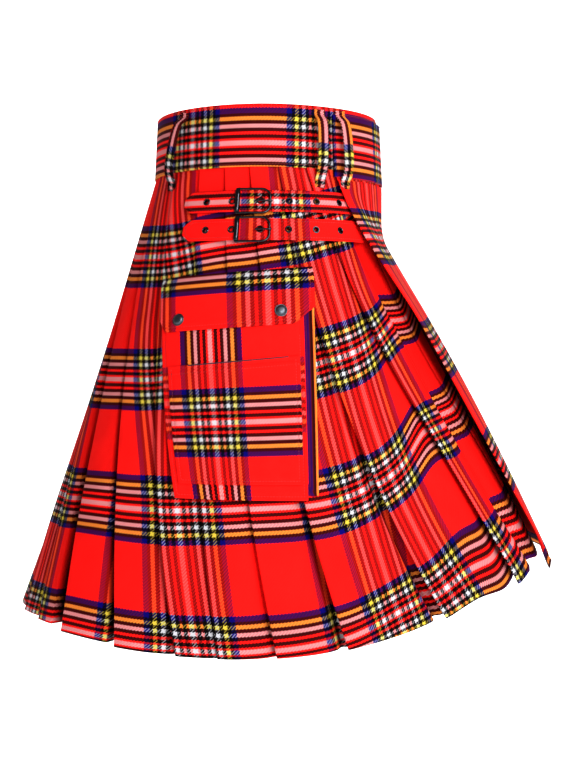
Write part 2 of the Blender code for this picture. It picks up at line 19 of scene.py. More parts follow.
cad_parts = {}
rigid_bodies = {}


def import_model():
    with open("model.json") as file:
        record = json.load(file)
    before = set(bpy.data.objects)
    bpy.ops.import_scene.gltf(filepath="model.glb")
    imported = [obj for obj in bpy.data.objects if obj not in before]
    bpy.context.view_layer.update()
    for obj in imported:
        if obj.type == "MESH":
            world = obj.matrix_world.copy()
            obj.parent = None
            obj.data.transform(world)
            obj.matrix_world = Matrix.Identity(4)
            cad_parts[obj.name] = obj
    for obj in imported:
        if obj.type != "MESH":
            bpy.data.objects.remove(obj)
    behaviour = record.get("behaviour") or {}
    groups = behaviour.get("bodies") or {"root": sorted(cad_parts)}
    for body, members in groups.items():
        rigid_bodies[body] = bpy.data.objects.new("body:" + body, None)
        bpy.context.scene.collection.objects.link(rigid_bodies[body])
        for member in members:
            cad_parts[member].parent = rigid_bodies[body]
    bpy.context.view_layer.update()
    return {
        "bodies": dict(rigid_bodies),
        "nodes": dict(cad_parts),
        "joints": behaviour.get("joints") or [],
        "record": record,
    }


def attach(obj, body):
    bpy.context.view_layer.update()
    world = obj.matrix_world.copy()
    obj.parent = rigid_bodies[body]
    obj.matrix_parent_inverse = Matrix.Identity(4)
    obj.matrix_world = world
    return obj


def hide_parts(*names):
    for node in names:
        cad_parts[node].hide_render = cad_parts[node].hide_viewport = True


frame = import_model()
MM = 0.001


def link(item):
    """Put an object in the scene."""
    bpy.context.scene.collection.objects.link(item)
    return item


# %% [markdown]
# ## Camera, light and floor
#
# The kilt is seen from the wearer's right side, level with its middle, with a short telephoto lens. Large
# soft lamps give cloth its even light: two on this side, near the front, and a wide one on the far side.
# The colours are very strong, so the picture is shown with the plain display transform, which doesn't wash
# strong reds out.
#
# Behind and below runs a studio sweep: one wide sheet of white that curves up from floor to wall, so that
# no line shows where they meet.

# %% Camera and lamps
CAMERA_AT = Vector((0.0, -1.95, -0.217))
CAMERA_LENS = 75.94                # mm on a 36 mm sensor
CAMERA_YAW, CAMERA_PITCH = -0.672, -1.732      # degrees: above zero is to the left and up
LAMPS = [
    # name, place, what it is aimed at, width m, power W
    ("key", (1.9, -2.4, 1.4), (0, 0, -0.25), 1.2, 62),
    ("fill", (0.9, -3.0, 0.5), (0, 0, -0.25), 1.0, 74),
    ("back", (0.4, 2.6, 1.8), (0, 0, -0.2), 2.2, 55),
]
ROOM_LIGHT = 0.26                  # what the white walls of the room send back


def make_camera():
    data = bpy.data.cameras.new("camera")
    data.lens, data.sensor_width, data.sensor_fit = CAMERA_LENS, 36.0, "AUTO"
    camera = link(bpy.data.objects.new("camera", data))
    camera.location = CAMERA_AT
    camera.rotation_euler = (math.radians(90 + CAMERA_PITCH), 0, math.radians(CAMERA_YAW))
    bpy.context.scene.camera = camera


def make_lamp(name, place, aim, size, power):
    data = bpy.data.lights.new(name, "AREA")
    data.shape, data.size, data.energy = "DISK", size, power
    lamp = link(bpy.data.objects.new(name, data))
    lamp.location = place
    lamp.rotation_euler = (Vector(aim) - Vector(place)).to_track_quat("-Z", "Y").to_euler()


make_camera()
for lamp_row in LAMPS:
    make_lamp(*lamp_row)
world = bpy.data.worlds.new("studio")
world.use_nodes = True
world.node_tree.nodes["Background"].inputs["Color"].default_value = (1, 1, 1, 1)
world.node_tree.nodes["Background"].inputs["Strength"].default_value = ROOM_LIGHT
bpy.context.scene.world = world
bpy.context.scene.view_settings.view_transform = "Standard"
bpy.context.scene.view_settings.look = "Medium High Contrast"
print("lamps:", ", ".join(row[0] for row in LAMPS))

# %% The studio sweep
FLOOR_Z = -0.95
SWEEP_FRONT, SWEEP_CURVE, SWEEP_RADIUS = -7.0, 3.6, 0.8        # where the floor starts and where it turns up
SWEEP_TOP, SWEEP_SIDE = 4.5, 7.0   # the wall's height and half its width
SWEEP_GLOW = 0.75                  # the white gives off light of its own, so that it stays even


def start_material(name):
    """A new node material: itself, its tree and its shader."""
    material = bpy.data.materials.new(name)
    material.use_nodes = True
    return material, material.node_tree, material.node_tree.nodes["Principled BSDF"]


def matt_white_paint():
    """Matt emulsion paint on board: an even white with no gloss."""
    paint, _, shader = start_material("matt_white_paint")
    shader.inputs["Base Color"].default_value = (0.9, 0.9, 0.9, 1)
    shader.inputs["Roughness"].default_value = 0.95
    shader.inputs["Emission Color"].default_value = (1, 1, 1, 1)
    shader.inputs["Emission Strength"].default_value = SWEEP_GLOW
    return paint


def make_sweep():
    profile = [(SWEEP_FRONT, 0.0)]
    for turn in range(0, 91, 6):
        angle = math.radians(turn)
        profile.append((SWEEP_CURVE + SWEEP_RADIUS * math.sin(angle),
                        SWEEP_RADIUS - SWEEP_RADIUS * math.cos(angle)))
    profile.append((SWEEP_CURVE + SWEEP_RADIUS, SWEEP_TOP))
    mesh = bpy.data.meshes.new("studio_sweep")
    mesh.from_pydata([(x, y, FLOOR_Z + z) for y, z in profile for x in (-SWEEP_SIDE, SWEEP_SIDE)], [],
                     [(2 * n, 2 * n + 1, 2 * n + 3, 2 * n + 2) for n in range(len(profile) - 1)])
    mesh.shade_smooth()
    mesh.materials.append(matt_white_paint())
    sweep = link(bpy.data.objects.new("studio_sweep", mesh))
    print("sweep:", len(profile), "rows")


make_sweep()

# %% [markdown]
# ## The skirt's surface
#
# Cloth that hangs from a ring widens steadily to its hem. All pieces follow this one surface and stand
# off it by their own distance, so what lies on the skirt always fits it. It repeats the frame's own sizes.
# A slow ripple is added to the surface itself: pleats, pocket and aprons then sway together.
#
# The sizes that change round the body are short tables, and a smooth curve runs through each column.

# %% Sizes of the skirt
WAIST_FRONT, WAIST_BACK, WAIST_SIDE = 130.0 * MM, 135.0 * MM, 152.5 * MM
BAND_TAPER = 3.5 * MM
BAND_THICKNESS = 2.6 * MM
BAND_TUCK = 2.6 * MM               # from the band's middle in to the cloth sewn behind it
CLOTH = 1.5 * MM
SEAM_GAP = 0.3 * MM
SKIRT_TOP = -35.3 * MM
BAND = [
    # direction, bottom mm, top mm, cloth above the check's first stripe mm
    (-45, -33, 36, 4.4),
    (60, -31, 37, 4.4),
    (95, -30, 38.5, 4.4),
    (140, -32, 38, 4.4),
    (180, -35, 37, 4.4),
    (270, -40, 34.5, 4.0),
    (330, -43, 33, 1.0),
    (421, -43.5, 33, 0.0),
]
BAND_STEP_START, BAND_STEP_END = 275.0, 305.0
HEM = [
    # direction, radius mm, height mm
    (0, 315, -466),
    (23, 329, -470),
    (35, 326, -493),
    (45, 318, -499),
    (55, 314, -518),
    (75, 310, -539),
    (90, 310, -547),
    (107, 309, -547),
    (121, 308, -542),
    (135, 304, -534),
    (150, 299, -530),
    (180, 290, -528),
]
FRONT_DROP, FRONT_SPREAD, FRONT_EASE = 75.0 * MM, 65.0, 0.7
SIDE_SAG, FRONT_FULL = 4.0 * MM, 9.0 * MM
HEM_CLOTH = 540.0 * MM             # the cloth's length from band to hem at the side
HEM_THREAD = 495.0 * MM
HEM_RIM, HEM_RIM_START = 2.6 * MM, 0.985       # the last of the hem runs on into a dark stripe, which rims it
SHIFT_SHARES = (0.0, 0.3, 0.6, 0.8, 1.0)
CLOTH_SHIFT = [
    # direction, and for each of those shares down the skirt how far the stripes sit low, mm
    (0, 0, 0, -50, -50, -35),
    (20, -5, -15, -50, -48, -35),
    (45, -5, -10, -35, -38, -28),
    (62, -6, -5, -6, -14, -26),
    (75, -6, -4, -1, -4, -12),
    (95, 0, 0, -2, -4, -6),
    (115, 12, 10, 4, 3, -5),
    (133, 30, 27, 16, 8, -4),
    (160, 34, 33, 25, 14, 0),
    (200, 25, 25, 20, 10, 0),
    (250, 0, 0, 0, 0, 0),
    (360, 0, 0, 0, 0, 0),
]
RIPPLE = 3.2 * MM                  # how far the cloth sways in and out at the hem
RIPPLES_ROUND, RIPPLES_DOWN = 5.0, 1.6         # how quickly that changes round the body and down it
print("hem:", min(row[1] for row in HEM), "to", max(row[1] for row in HEM), "mm from the axis")


# %% Helpers for smooth curves
def smoothstep(value, start, end):
    share = min(1.0, max(0.0, (value - start) / (end - start)))
    return share * share * (3 - 2 * share)


def read_table(table, position, column):
    """Smooth curve through one column of a table whose first column rises."""
    last = len(table) - 1
    position = min(max(position, table[0][0]), table[last][0])
    row = next(i for i in range(last) if position <= table[i + 1][0])
    start, end = table[row], table[row + 1]
    before, after = table[max(row - 1, 0)], table[min(row + 2, last)]
    span = end[0] - start[0]
    slope_start = (end[column] - before[column]) / (end[0] - before[0]) if row > 0 else 0.0
    slope_end = (after[column] - start[column]) / (after[0] - start[0]) if row + 2 <= last else 0.0
    u = (position - start[0]) / span
    return ((2 * u**3 - 3 * u**2 + 1) * start[column] + (u**3 - 2 * u**2 + u) * span * slope_start
            + (3 * u**2 - 2 * u**3) * end[column] + (u**3 - u**2) * span * slope_end)


def between(start, end, share):
    return start + (end - start) * share


def shares(count):
    """Even steps from 0 to 1."""
    return [index / (count - 1) for index in range(count)]


def fold_back(direction):
    """The same direction on the wearer's right, since the skirt's two sides are alike."""
    direction = direction % 360
    return 360 - direction if direction > 180 else direction


print("band at the side:", round(read_table(BAND, 90, 2) - read_table(BAND, 90, 1), 1), "mm high")


# %% The surface
def waist_radius(direction):
    ahead, side = math.cos(math.radians(direction)), math.sin(math.radians(direction))
    return 1 / math.hypot(ahead / (WAIST_FRONT if ahead > 0 else WAIST_BACK), side / WAIST_SIDE)


def band_bottom(direction):
    return read_table(BAND, direction, 1) * MM


def band_top(direction):
    return read_table(BAND, direction, 2) * MM


def hem_height(direction):
    return read_table(HEM, fold_back(direction), 2) * MM


def skirt_radius(direction, height):
    """How far the skirt stands from the axis at a height."""
    side = fold_back(direction)
    front = math.cos(math.radians(min(side / FRONT_SPREAD, 1) * 90))
    drop = FRONT_DROP * front
    ease = FRONT_EASE * drop
    fallen = max(0.0, SKIRT_TOP - drop + ease / 2 - height)
    run = fallen**2 / (2 * ease) if fallen < ease else fallen - ease / 2
    share = min(1.0, run / (SKIRT_TOP - drop - hem_height(direction)))
    waist, hem = waist_radius(direction), read_table(HEM, side, 1) * MM
    bow = (FRONT_FULL * front - SIDE_SAG) * math.sin(math.pi * share)
    return between(waist, hem, share) + bow + ripple(direction, share)


def ripple(direction, share):
    """A slow sway of the cloth, still at the waist and widest at the hem."""
    place = Vector((math.cos(math.radians(direction)), math.sin(math.radians(direction)), 0)) * RIPPLES_ROUND
    sway = noise.noise(place + Vector((0, 0, share * RIPPLES_DOWN)))
    return RIPPLE * smoothstep(share, 0.25, 1.0) * sway


def around(direction, radius, height):
    """A point at a direction, a distance from the axis and a height."""
    angle = math.radians(direction)
    return Vector((radius * math.cos(angle), -radius * math.sin(angle), height))


def skirt_point(direction, height, offset=0.0):
    return around(direction, skirt_radius(direction, height) + offset, height)


def skirt_at(direction, share, offset=0.0):
    """A point of the skirt at a share of the way from band to hem."""
    top = band_bottom(direction) - SEAM_GAP
    return skirt_point(direction, between(top, hem_height(direction), share), offset)


def direction_of(point):
    return math.degrees(math.atan2(-point.y, point.x))


def mm_per_degree(radius):
    """How many millimetres of cloth lie along one degree."""
    return radius * math.pi / 180 * 1000


def facing_out(vector, at):
    """A vector along the same line that points away from the wearer."""
    return vector if vector.dot(Vector((at.x, at.y, 0))) > 0 else -vector


print("waist round:", round(sum(waist_radius(d) for d in range(360)) * math.tau / 360, 3), "m")

# %% [markdown]
# ## Mesh and cloth helpers
#
# A cloth piece is a grid of points, row by row, with a UV map in metres along its threads: U runs across
# the warp stripes and V down the cloth. A pattern drawn on that map keeps its true size however the
# cloth is folded. Solidify then gives the sheet its thickness.

# %% Helpers for cloth
TUCK_ROWS = (0.8 * MM, 16 * MM)    # heights of the two rows that run on behind the band


def flat_list(rows):
    return [value for row in rows for value in row]


def smooth(mesh, crease=50.0):
    """Smooth shading, except across edges sharper than the crease, in degrees."""
    mesh.shade_smooth()
    mesh.set_sharp_from_angle(angle=math.radians(crease))


def bake(item):
    """An object's mesh as its modifiers leave it; the object itself goes."""
    mesh = bpy.data.meshes.new_from_object(item.evaluated_get(bpy.context.evaluated_depsgraph_get()))
    bpy.data.objects.remove(item)
    return mesh


def sheet_object(name, rows, threads, thickness=CLOTH, depths=None):
    """A cloth wall through rows of points, with threads giving each point's place on the flat cloth."""
    mesh = bpy.data.meshes.new(name)
    width = len(rows[0])
    faces = [(r * width + c, r * width + c + 1, (r + 1) * width + c + 1, (r + 1) * width + c)
             for r in range(len(rows) - 1) for c in range(width - 1)]
    mesh.from_pydata(flat_list(rows), [], faces)
    layer, places = mesh.uv_layers.new(name="UVMap"), flat_list(threads)
    for loop in mesh.loops:
        layer.data[loop.index].uv = places[loop.vertex_index]
    # painted shade: how much each point's colour is darkened at the bottom of a deep fold
    if depths:
        mesh.attributes.new("painted_fold_shade", "FLOAT", "POINT").data.foreach_set("value", flat_list(depths))
    smooth(mesh)
    mesh.update()
    item = link(bpy.data.objects.new(name, mesh))
    solid = item.modifiers.new("Cloth thickness", "SOLIDIFY")
    solid.thickness, solid.offset = thickness, 0.0
    return item


def tuck_into_band(rows, threads, on_band_face=False):
    """Two more rows above the first: the cloth runs on behind the band, where it is sewn in."""
    first, head = threads[0], []
    for point in rows[0]:
        direction = direction_of(point) % 360
        face = point.xy.length if on_band_face else waist_radius(direction)
        head.append(around(direction, min(point.xy.length, face - BAND_TUCK), point.z))
    for height in TUCK_ROWS:
        rows.insert(0, [point + Vector((0, 0, height)) for point in head])
        threads.insert(0, [(across, down - height) for across, down in first])


def finish_piece(item, slot, *nodes):
    """Hide the CAD nodes that a piece stands for and attach the piece to the root body; slot, what it is made
    of, is not used.
    """
    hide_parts(*nodes)
    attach(item, "root")


def finish_cloth(item, node):
    """The same for a cloth piece; its evaluated mesh is taken, but nothing reads it."""
    finish_piece(item, "tartan_cloth", node)
    shape = item.evaluated_get(bpy.context.evaluated_depsgraph_get()).to_mesh()


def make_cloth(node, rows, threads, length, held, rests_on=(), **options):
    """A finished cloth wall that stands for one CAD node."""
    cloth = sheet_object("cloth_" + node, rows, threads, **options)
    cloth.data.materials.append(SKIRT_CLOTH)
    finish_cloth(cloth, node)


print("cloth:", CLOTH / MM, "mm thick")


# %% [markdown]
# ## Tartan
#
# A tartan is woven from dyed yarn. The same list of stripes, the sett, is used for the warp threads that
# run down the cloth and for the weft threads that run across it, mirrored about its white middle line.
# In a twill each thread passes over two and under two, one step further in each row, and that draws fine
# diagonal ribs. Where two stripes cross, the eye sees the two yarns mixed; the weft shows more here.
# Dark yarns count for more in that mix than their share, since they also shade the light ones. The real
# ribs are 1 mm apart, too fine to show, so they are drawn two and a half times as wide.
#
# A tree of shader nodes works all this out from the UV map, so one material serves every piece.

# %% Node helpers
def linear(hex_colour):
    """An sRGB hex colour as linear light."""
    parts = [int(hex_colour[i:i + 2], 16) / 255 for i in (1, 3, 5)]
    return (*[p / 12.92 if p <= 0.04045 else ((p + 0.055) / 1.055) ** 2.4 for p in parts], 1.0)


def add(tree, kind, settings=None, **inputs):
    """Add one node. An input goes by name or as i0, i1, ...; a node or socket is linked, a value is set."""
    node = tree.nodes.new(kind)
    for key, value in (settings or {}).items():
        setattr(node, key, value)
    for key, value in inputs.items():
        numbered = key[0] == "i" and key[1:].isdigit()
        socket = node.inputs[int(key[1:]) if numbered else key.replace("_", " ")]
        if isinstance(value, bpy.types.Node):
            value = value.outputs[0]
        if isinstance(value, bpy.types.NodeSocket):
            tree.links.new(value, socket)
        else:
            socket.default_value = value
    return node


# settings that many Math and Mix nodes share
TIMES, TIMES_PLUS = {"operation": "MULTIPLY"}, {"operation": "MULTIPLY_ADD"}
BLEND, DARKEN = {"data_type": "RGBA"}, {"data_type": "RGBA", "blend_type": "DARKEN"}
print("mid grey in linear light:", round(linear("#808080")[0], 3))

# %% The sett
YARN = {
    "red": "#DE1714",
    "navy": "#08045A",
    "black": "#060304",
    "yellow": "#BEA83C",
    "white": "#B2B1B6",
}
HALF_SETT = [
    # yarn, width mm
    ("navy", 5.6),
    ("black", 3.8),
    ("yellow", 3.7),
    ("black", 4.2),
    ("white", 4.2),
    ("black", 4.4),
    ("red", 2.8),
    ("black", 4.0),
    ("red", 2.7),
    ("white", 2.6),
]
SETT = 152.0                       # mm from one repeat to the next


def sett_stops():
    """Where each stripe of one full sett starts, as a share of it."""
    stops, start = [], 0.0
    for yarn, width in HALF_SETT + HALF_SETT[::-1]:
        if not stops or stops[-1][1] != yarn:
            stops.append((start / SETT, yarn))
        start += width
    stops.append((start / SETT, "red"))
    return stops


def stripe_ramp(tree, place_mm):
    """The yarn colour at a place across the stripes, and 1 where it isn't the red ground."""
    turn = add(tree, "ShaderNodeMath", {"operation": "DIVIDE"}, i0=place_mm, i1=SETT)
    share = add(tree, "ShaderNodeMath", {"operation": "FRACT"}, i0=turn)
    stripes = add(tree, "ShaderNodeValToRGB", None, Fac=share)
    ramp, stops = stripes.color_ramp, sett_stops()
    ramp.interpolation = "CONSTANT"
    ramp.elements[0].position, ramp.elements[1].position = 0.0, stops[1][0]
    for position, _ in stops[2:]:
        ramp.elements.new(position)
    for element, (_, yarn) in zip(ramp.elements, stops):
        element.color = (*linear(YARN[yarn])[:3], float(yarn != "red"))
    return stripes.outputs["Color"], stripes.outputs["Alpha"]


print("sett:", len(sett_stops()), "stripes in", SETT, "mm")

# %% The woven cloth
TWILL_RIB = 3.6                    # mm between ribs along a thread, which is 2.5 mm across them
TWILL_STEP = 0.45                  # mm that each rib carries a stripe's edge to and fro
WEFT_SEEN, RIB_SWING = 0.68, 0.09  # share of the surface that is weft, and how far a rib changes it
BLEND_POWER = 0.25                 # well below display brightness, so that dark yarns count for more
CROSSING_SHADE = 0.55              # how much a dark thread darkens a light one that crosses it
FOLD_PAINTED_DARKENING = 0.92                  # how far painted shade darkens the colour at the bottom of a deep fold
DYE_CLOUD, DYE_LOW, DYE_HIGH = 14.0, 0.90, 1.04        # how fine the dye's spots are, and their range
FIBRE_CLOUD, FIBRE_RELIEF = 1400.0, 0.6        # the same for single threads, and their height against a rib
RELIEF, RELIEF_STRENGTH = 0.2 * MM, 0.25       # how high a rib stands, and how much of that shows


def tartan(name):
    """Twill-woven wool in a red check."""
    material, tree, shader = start_material(name)
    flat = add(tree, "ShaderNodeUVMap", {"uv_map": "UVMap"})
    axes = add(tree, "ShaderNodeSeparateXYZ", None, Vector=flat)
    across = add(tree, "ShaderNodeMath", TIMES, i0=axes.outputs["X"], i1=1000.0)
    down = add(tree, "ShaderNodeMath", TIMES, i0=axes.outputs["Y"], i1=1000.0)
    # diagonal ribs: across + down, one rib every TWILL_RIB; they also step the edges of the stripes
    both = add(tree, "ShaderNodeMath", {"operation": "ADD"}, i0=across, i1=down)
    rib = add(tree, "ShaderNodeMath", TIMES, i0=both, i1=math.tau / TWILL_RIB)
    wave = add(tree, "ShaderNodeMath", {"operation": "SINE"}, i0=rib)
    across = add(tree, "ShaderNodeMath", TIMES_PLUS, i0=wave, i1=TWILL_STEP, i2=across)
    down = add(tree, "ShaderNodeMath", TIMES_PLUS, i0=wave, i1=-TWILL_STEP, i2=down)
    warp, warp_stripe = stripe_ramp(tree, across)
    weft, weft_stripe = stripe_ramp(tree, down)
    # the weft covers more than half; where two stripes cross, the single threads of both show as specks
    crossing = add(tree, "ShaderNodeMath", TIMES, i0=warp_stripe, i1=weft_stripe)
    middle = add(tree, "ShaderNodeMath", TIMES_PLUS, i0=crossing, i1=0.5 - WEFT_SEEN, i2=WEFT_SEEN)
    swing = add(tree, "ShaderNodeMath", TIMES_PLUS, i0=crossing, i1=0.5 - RIB_SWING, i2=RIB_SWING)
    cover = add(tree, "ShaderNodeMath", {**TIMES_PLUS, "use_clamp": True}, i0=wave, i1=swing, i2=middle)
    warp_seen = add(tree, "ShaderNodeGamma", None, Color=warp, Gamma=BLEND_POWER)
    weft_seen = add(tree, "ShaderNodeGamma", None, Color=weft, Gamma=BLEND_POWER)
    mixed = add(tree, "ShaderNodeMix", BLEND, i0=cover, i6=warp_seen, i7=weft_seen)
    mixed = add(tree, "ShaderNodeGamma", None, Color=mixed.outputs[2], Gamma=1 / BLEND_POWER)
    # in a crossing the dark threads cast their colour on the light ones
    darker = add(tree, "ShaderNodeMath", TIMES, i0=crossing, i1=CROSSING_SHADE)
    woven = add(tree, "ShaderNodeMix", DARKEN, i0=darker, i6=mixed, i7=warp)
    woven = add(tree, "ShaderNodeMix", DARKEN, i0=darker, i6=woven.outputs[2], i7=weft)
    # painted shade darkens the colour at the bottom of a deep open fold, and the dye is uneven along the cloth
    fold = add(tree, "ShaderNodeAttribute", {"attribute_name": "painted_fold_shade"})
    lit = add(tree, "ShaderNodeMath", TIMES_PLUS, i0=fold.outputs["Fac"], i1=-FOLD_PAINTED_DARKENING, i2=1.0)
    cloud = add(tree, "ShaderNodeTexNoise", {"noise_dimensions": "3D"}, Scale=DYE_CLOUD, Detail=3.0)
    depth = add(tree, "ShaderNodeMapRange", None, i0=cloud, i1=0.3, i2=0.7, i3=DYE_LOW, i4=DYE_HIGH)
    depth = add(tree, "ShaderNodeMath", TIMES, i0=depth, i1=lit)
    tinted = add(tree, "ShaderNodeVectorMath", {"operation": "SCALE"}, i0=woven.outputs[2], Scale=depth)
    tree.links.new(tinted.outputs[0], shader.inputs["Base Color"])
    # ribs and single threads stand up a little
    fuzz = add(tree, "ShaderNodeTexNoise", {"noise_dimensions": "3D"}, Scale=FIBRE_CLOUD, Detail=2.0)
    relief = add(tree, "ShaderNodeMath", TIMES_PLUS, i0=fuzz, i1=FIBRE_RELIEF, i2=wave)
    bump = add(tree, "ShaderNodeBump", None, Strength=RELIEF_STRENGTH, Distance=RELIEF, Height=relief)
    tree.links.new(bump.outputs[0], shader.inputs["Normal"])
    shader.inputs["Roughness"].default_value = 0.86
    shader.inputs["Specular IOR Level"].default_value = 0.06
    return material


SKIRT_CLOTH = tartan("tartan_twill_wool")
print("tartan:", len(SKIRT_CLOTH.node_tree.nodes), "nodes")

# %% [markdown]
# ## Knife pleats
#
# Each pleat is a flat face whose edge is pressed over the next one, with the spare cloth folded back under
# it. The folded edges are straight threads of the cloth, so a fold shows the same stripe from hip to hem,
# and the stripes run on unbroken from pleat to pleat at the hip: that is pleating to the sett. The table
# gives each edge's place at hem and waist, and which stripe it shows there. Rows of points follow the
# pleats in and out at each level; the whole wall is one rule.

# %% Sizes of the pleats
VISIBLE_FOLDS = [
    # hem, waist, bow, and the thread on the folded edge at hem and at the hip, mm from the sett's start
    (33.2, 74.0, 1.35, 56, 52),
    (53.4, 86.0, 1.0, 20, 6),
    (74.9, 98.0, 1.0, -27, -24),
    (88.4, 109.0, 1.0, -52.7, -50),
    (99.7, 122.0, 1.0, -99.3, -90),
    (108.0, 139.0, 1.0, -135.5, -140),
    (121.0, 157.0, 1.15, -186, -160),
    (135.0, 168.0, 1.15, -196, -190),
    (147.0, 178.0, 1.0, -246, -230),
    (158.0, 188.0, 1.0, -276, -262),
]
REST_FOLDS, REST_THREADS = 14, 30.7            # more folds in even steps, and mm of the sett for a step
WAIST_THREAD_START, WAIST_THREAD_STEP = 89.0, 2.203       # direction of thread 0, mm for a degree
HIP, HIP_EASE = 0.32, 0.75         # shares down where the stripes meet, and where they lie as at the hem
PLEAT_PANELS = ("pleats_right", "pleats_back", "pleats_left")
PANEL_ENDS = (8, 16)               # a panel ends behind each of these folds
PLEATS_START = (15.0, 46.0, 1.0)   # hem, waist and bow, as for the folds
PLEATS_END = (337.0, 305.0, 1.0)
PLEAT_DEPTH_WAIST, PLEAT_DEPTH_HEM = 5.4 * MM, 13.0 * MM
UNDERLAP_WAIST, UNDERLAP_HEM = 6.0 * MM, 17.0 * MM
FOLD_ROUND, FOLD_THREADS = 1.8 * MM, 2.0       # thickness of a folded edge, and mm of cloth that turns in it
EDGE_ANGLES, UNDERLAP_POINTS = (-60, -20, 20, 60), (0.15, 0.5, 0.85, 1.0)
UNDER_APRON_INSET_WAIST, UNDER_APRON_INSET_HEM = 1.0 * MM, 4.0 * MM
PLEAT_LEVELS = 96
STEEPNESS = 1.6                    # how much sooner a face comes up from under the last fold, at the hem
EDGE_LIFTS = (4.0, 3.5, 1.5, 3.0, 2.2, 1.0, 3.2, 5.0, 9.0)      # mm each folded edge stands away at the hem
HEM_GROWTH = 1.5                   # edges and grooves open towards the hem with this power
FACE_POINTS = (0.0, 0.06, 0.1, 0.13, 0.16, 0.19, 0.22, 0.26, 0.3, 0.36, 0.44, 0.54, 0.64, 0.74, 0.83, 0.91,
               0.97)
GROOVES = {
    # fold: how deep and wide, mm, an open pleat sinks beside its edge; how far from the edge; its lean
    2: (12.0, 5.5, 2.5, 0.0),
    3: (9.0, 5.5, 2.5, 0.0),
    4: (4.0, 5.5, 2.5, 0.0),
    6: (5.0, 5.5, 2.5, 0.0),
    7: (22.0, 4.5, 7.5, 0.5),
    8: (34.0, 8.5, 17.0, 0.8),
    9: (8.0, 5.5, 2.5, 0.0),
}
NO_GROOVE = (0.0, 5.5, 2.5, 0.0)
LEAN_DARK = (1.2 * MM, 9 * MM)     # how deep a leaning groove is where its painted shade starts, and where it is full
OPEN_DARK, OPEN_SHADE = (2 * MM, 10 * MM), 0.7         # an upright one gets lighter painted shade, as some light gets in
APRON_GAP, APRON_GAP_WIDTH = 14.0 * MM, 11.0   # the pleats fall in beside the apron's free edge
APRON_GAP_BEYOND, APRON_GAP_GROWN = 0.35, 0.25         # widths past the edge; share down where it is full
FREE_EDGE = [
    # height, forward, to the left mm; the first and last rows only give the curve its slope there
    (-560, 367, -142),
    (-469, 317, -140),
    (-380, 268, -139),
    (-200, 168, -137),
    (-145, 132.5, -135),
    (-95, 101, -133),
    (-43.8, 78, -131),
    (20, 66, -130),
]
print("folds:", len(VISIBLE_FOLDS) + REST_FOLDS)


# %% Where the folded edges run
def apron_edge(share):
    """The outer apron's free edge, which passes over the pleats."""
    foot, top = FREE_EDGE[1][0], FREE_EDGE[-2][0]
    height = between(top, foot, share)
    return Vector((read_table(FREE_EDGE, height, 1), read_table(FREE_EDGE, height, 2), height)) * MM


def fold_lines():
    """Every fold as a row of the table above, with the thread on its edge at the waist as well."""
    lines = [(*line, -(line[1] - WAIST_THREAD_START) * WAIST_THREAD_STEP) for line in VISIBLE_FOLDS]
    hem, waist, _, hem_thread, hip_thread, _ = lines[-1]
    hem_step = (PLEATS_END[0] - hem) / (REST_FOLDS + 1)
    waist_step = (PLEATS_END[1] - waist) / (REST_FOLDS + 1)
    for n in range(1, REST_FOLDS + 1):
        thread = hip_thread - REST_THREADS * n
        lines.append((hem + hem_step * n, waist + waist_step * n, 1.0,
                      hem_thread - REST_THREADS * n, thread, thread))
    return lines


def line_direction(line, share):
    hem, waist, bow = line[:3]
    return between(hem, waist, (1 - share) ** bow)


def line_thread(line, share):
    """The thread, in mm across the sett, that lies on a folded edge."""
    hem, hip, waist = line[3:]
    if share < HIP:
        return between(waist, hip, smoothstep(share, 0.0, HIP))
    return between(hip, hem, smoothstep(share, HIP, HIP_EASE))


FOLD_LINES = fold_lines()
print("last fold:", round(FOLD_LINES[-1][0], 1), "degrees at the hem")

# %% Which thread lies where
RUN_LEVELS = 24


def cloth_run(direction):
    """Slant length of the cloth from each level down to the hem."""
    places = [skirt_at(direction, n / RUN_LEVELS) for n in range(RUN_LEVELS + 1)]
    steps = [(after - before).length for before, after in zip(places, places[1:])]
    return [sum(steps[n:]) for n in range(RUN_LEVELS + 1)]


def cloth_shift(direction, share):
    """How far the stripes sit below their even place, mm: pressed pleats pull the cloth out of square."""
    place = next(n for n in range(len(SHIFT_SHARES) - 1) if share <= SHIFT_SHARES[n + 1])
    part = (share - SHIFT_SHARES[place]) / (SHIFT_SHARES[place + 1] - SHIFT_SHARES[place])
    return (read_table(CLOTH_SHIFT, direction, place + 1) * (1 - part)
            + read_table(CLOTH_SHIFT, direction, place + 2) * part)


RUNS = [cloth_run(direction) for direction in range(360)]


def thread_down(direction, share):
    """How far down the cloth a point lies; every panel is cut so that its hem is the same thread."""
    level = min(share * RUN_LEVELS, RUN_LEVELS - 1e-6)
    low, part, turn = int(level), level % 1, direction % 1
    before, after = RUNS[math.floor(direction) % 360], RUNS[(math.floor(direction) + 1) % 360]
    run = ((1 - turn) * between(before[low], before[low + 1], part)
           + turn * between(after[low], after[low + 1], part))
    rim = HEM_RIM * smoothstep(share, HEM_RIM_START, 1.0)
    return HEM_THREAD - run - cloth_shift(direction % 360, share) * MM + rim


print("cloth from band to hem:", round(RUNS[90][0], 3), "m at the side")


# %% One level of the pleats
def under_inset(share):
    return between(UNDER_APRON_INSET_WAIST, UNDER_APRON_INSET_HEM, share)


def open_groove(fold, past_edge, share):
    """How deep an open pleat sinks beside a fold, how far it leans, and how much painted shade darkens it
    there.
    """
    deep, wide, away, lean = GROOVES.get(fold, NO_GROOVE)
    beside = (past_edge - away) / wide
    sunk = deep * MM * share**HEM_GROWTH * math.exp(-beside * beside)
    shade = smoothstep(sunk, *LEAN_DARK) if lean else OPEN_SHADE * smoothstep(sunk, *OPEN_DARK)
    return sunk, lean, shade


def apron_groove(direction, degree, share):
    """The same for the first face, which falls in beside the apron's free edge and gets no painted shade."""
    beside = (direction - direction_of(apron_edge(share))) * degree / APRON_GAP_WIDTH - APRON_GAP_BEYOND
    return APRON_GAP * smoothstep(share, 0.0, APRON_GAP_GROWN) * math.exp(-beside * beside), 0.0, 0.0


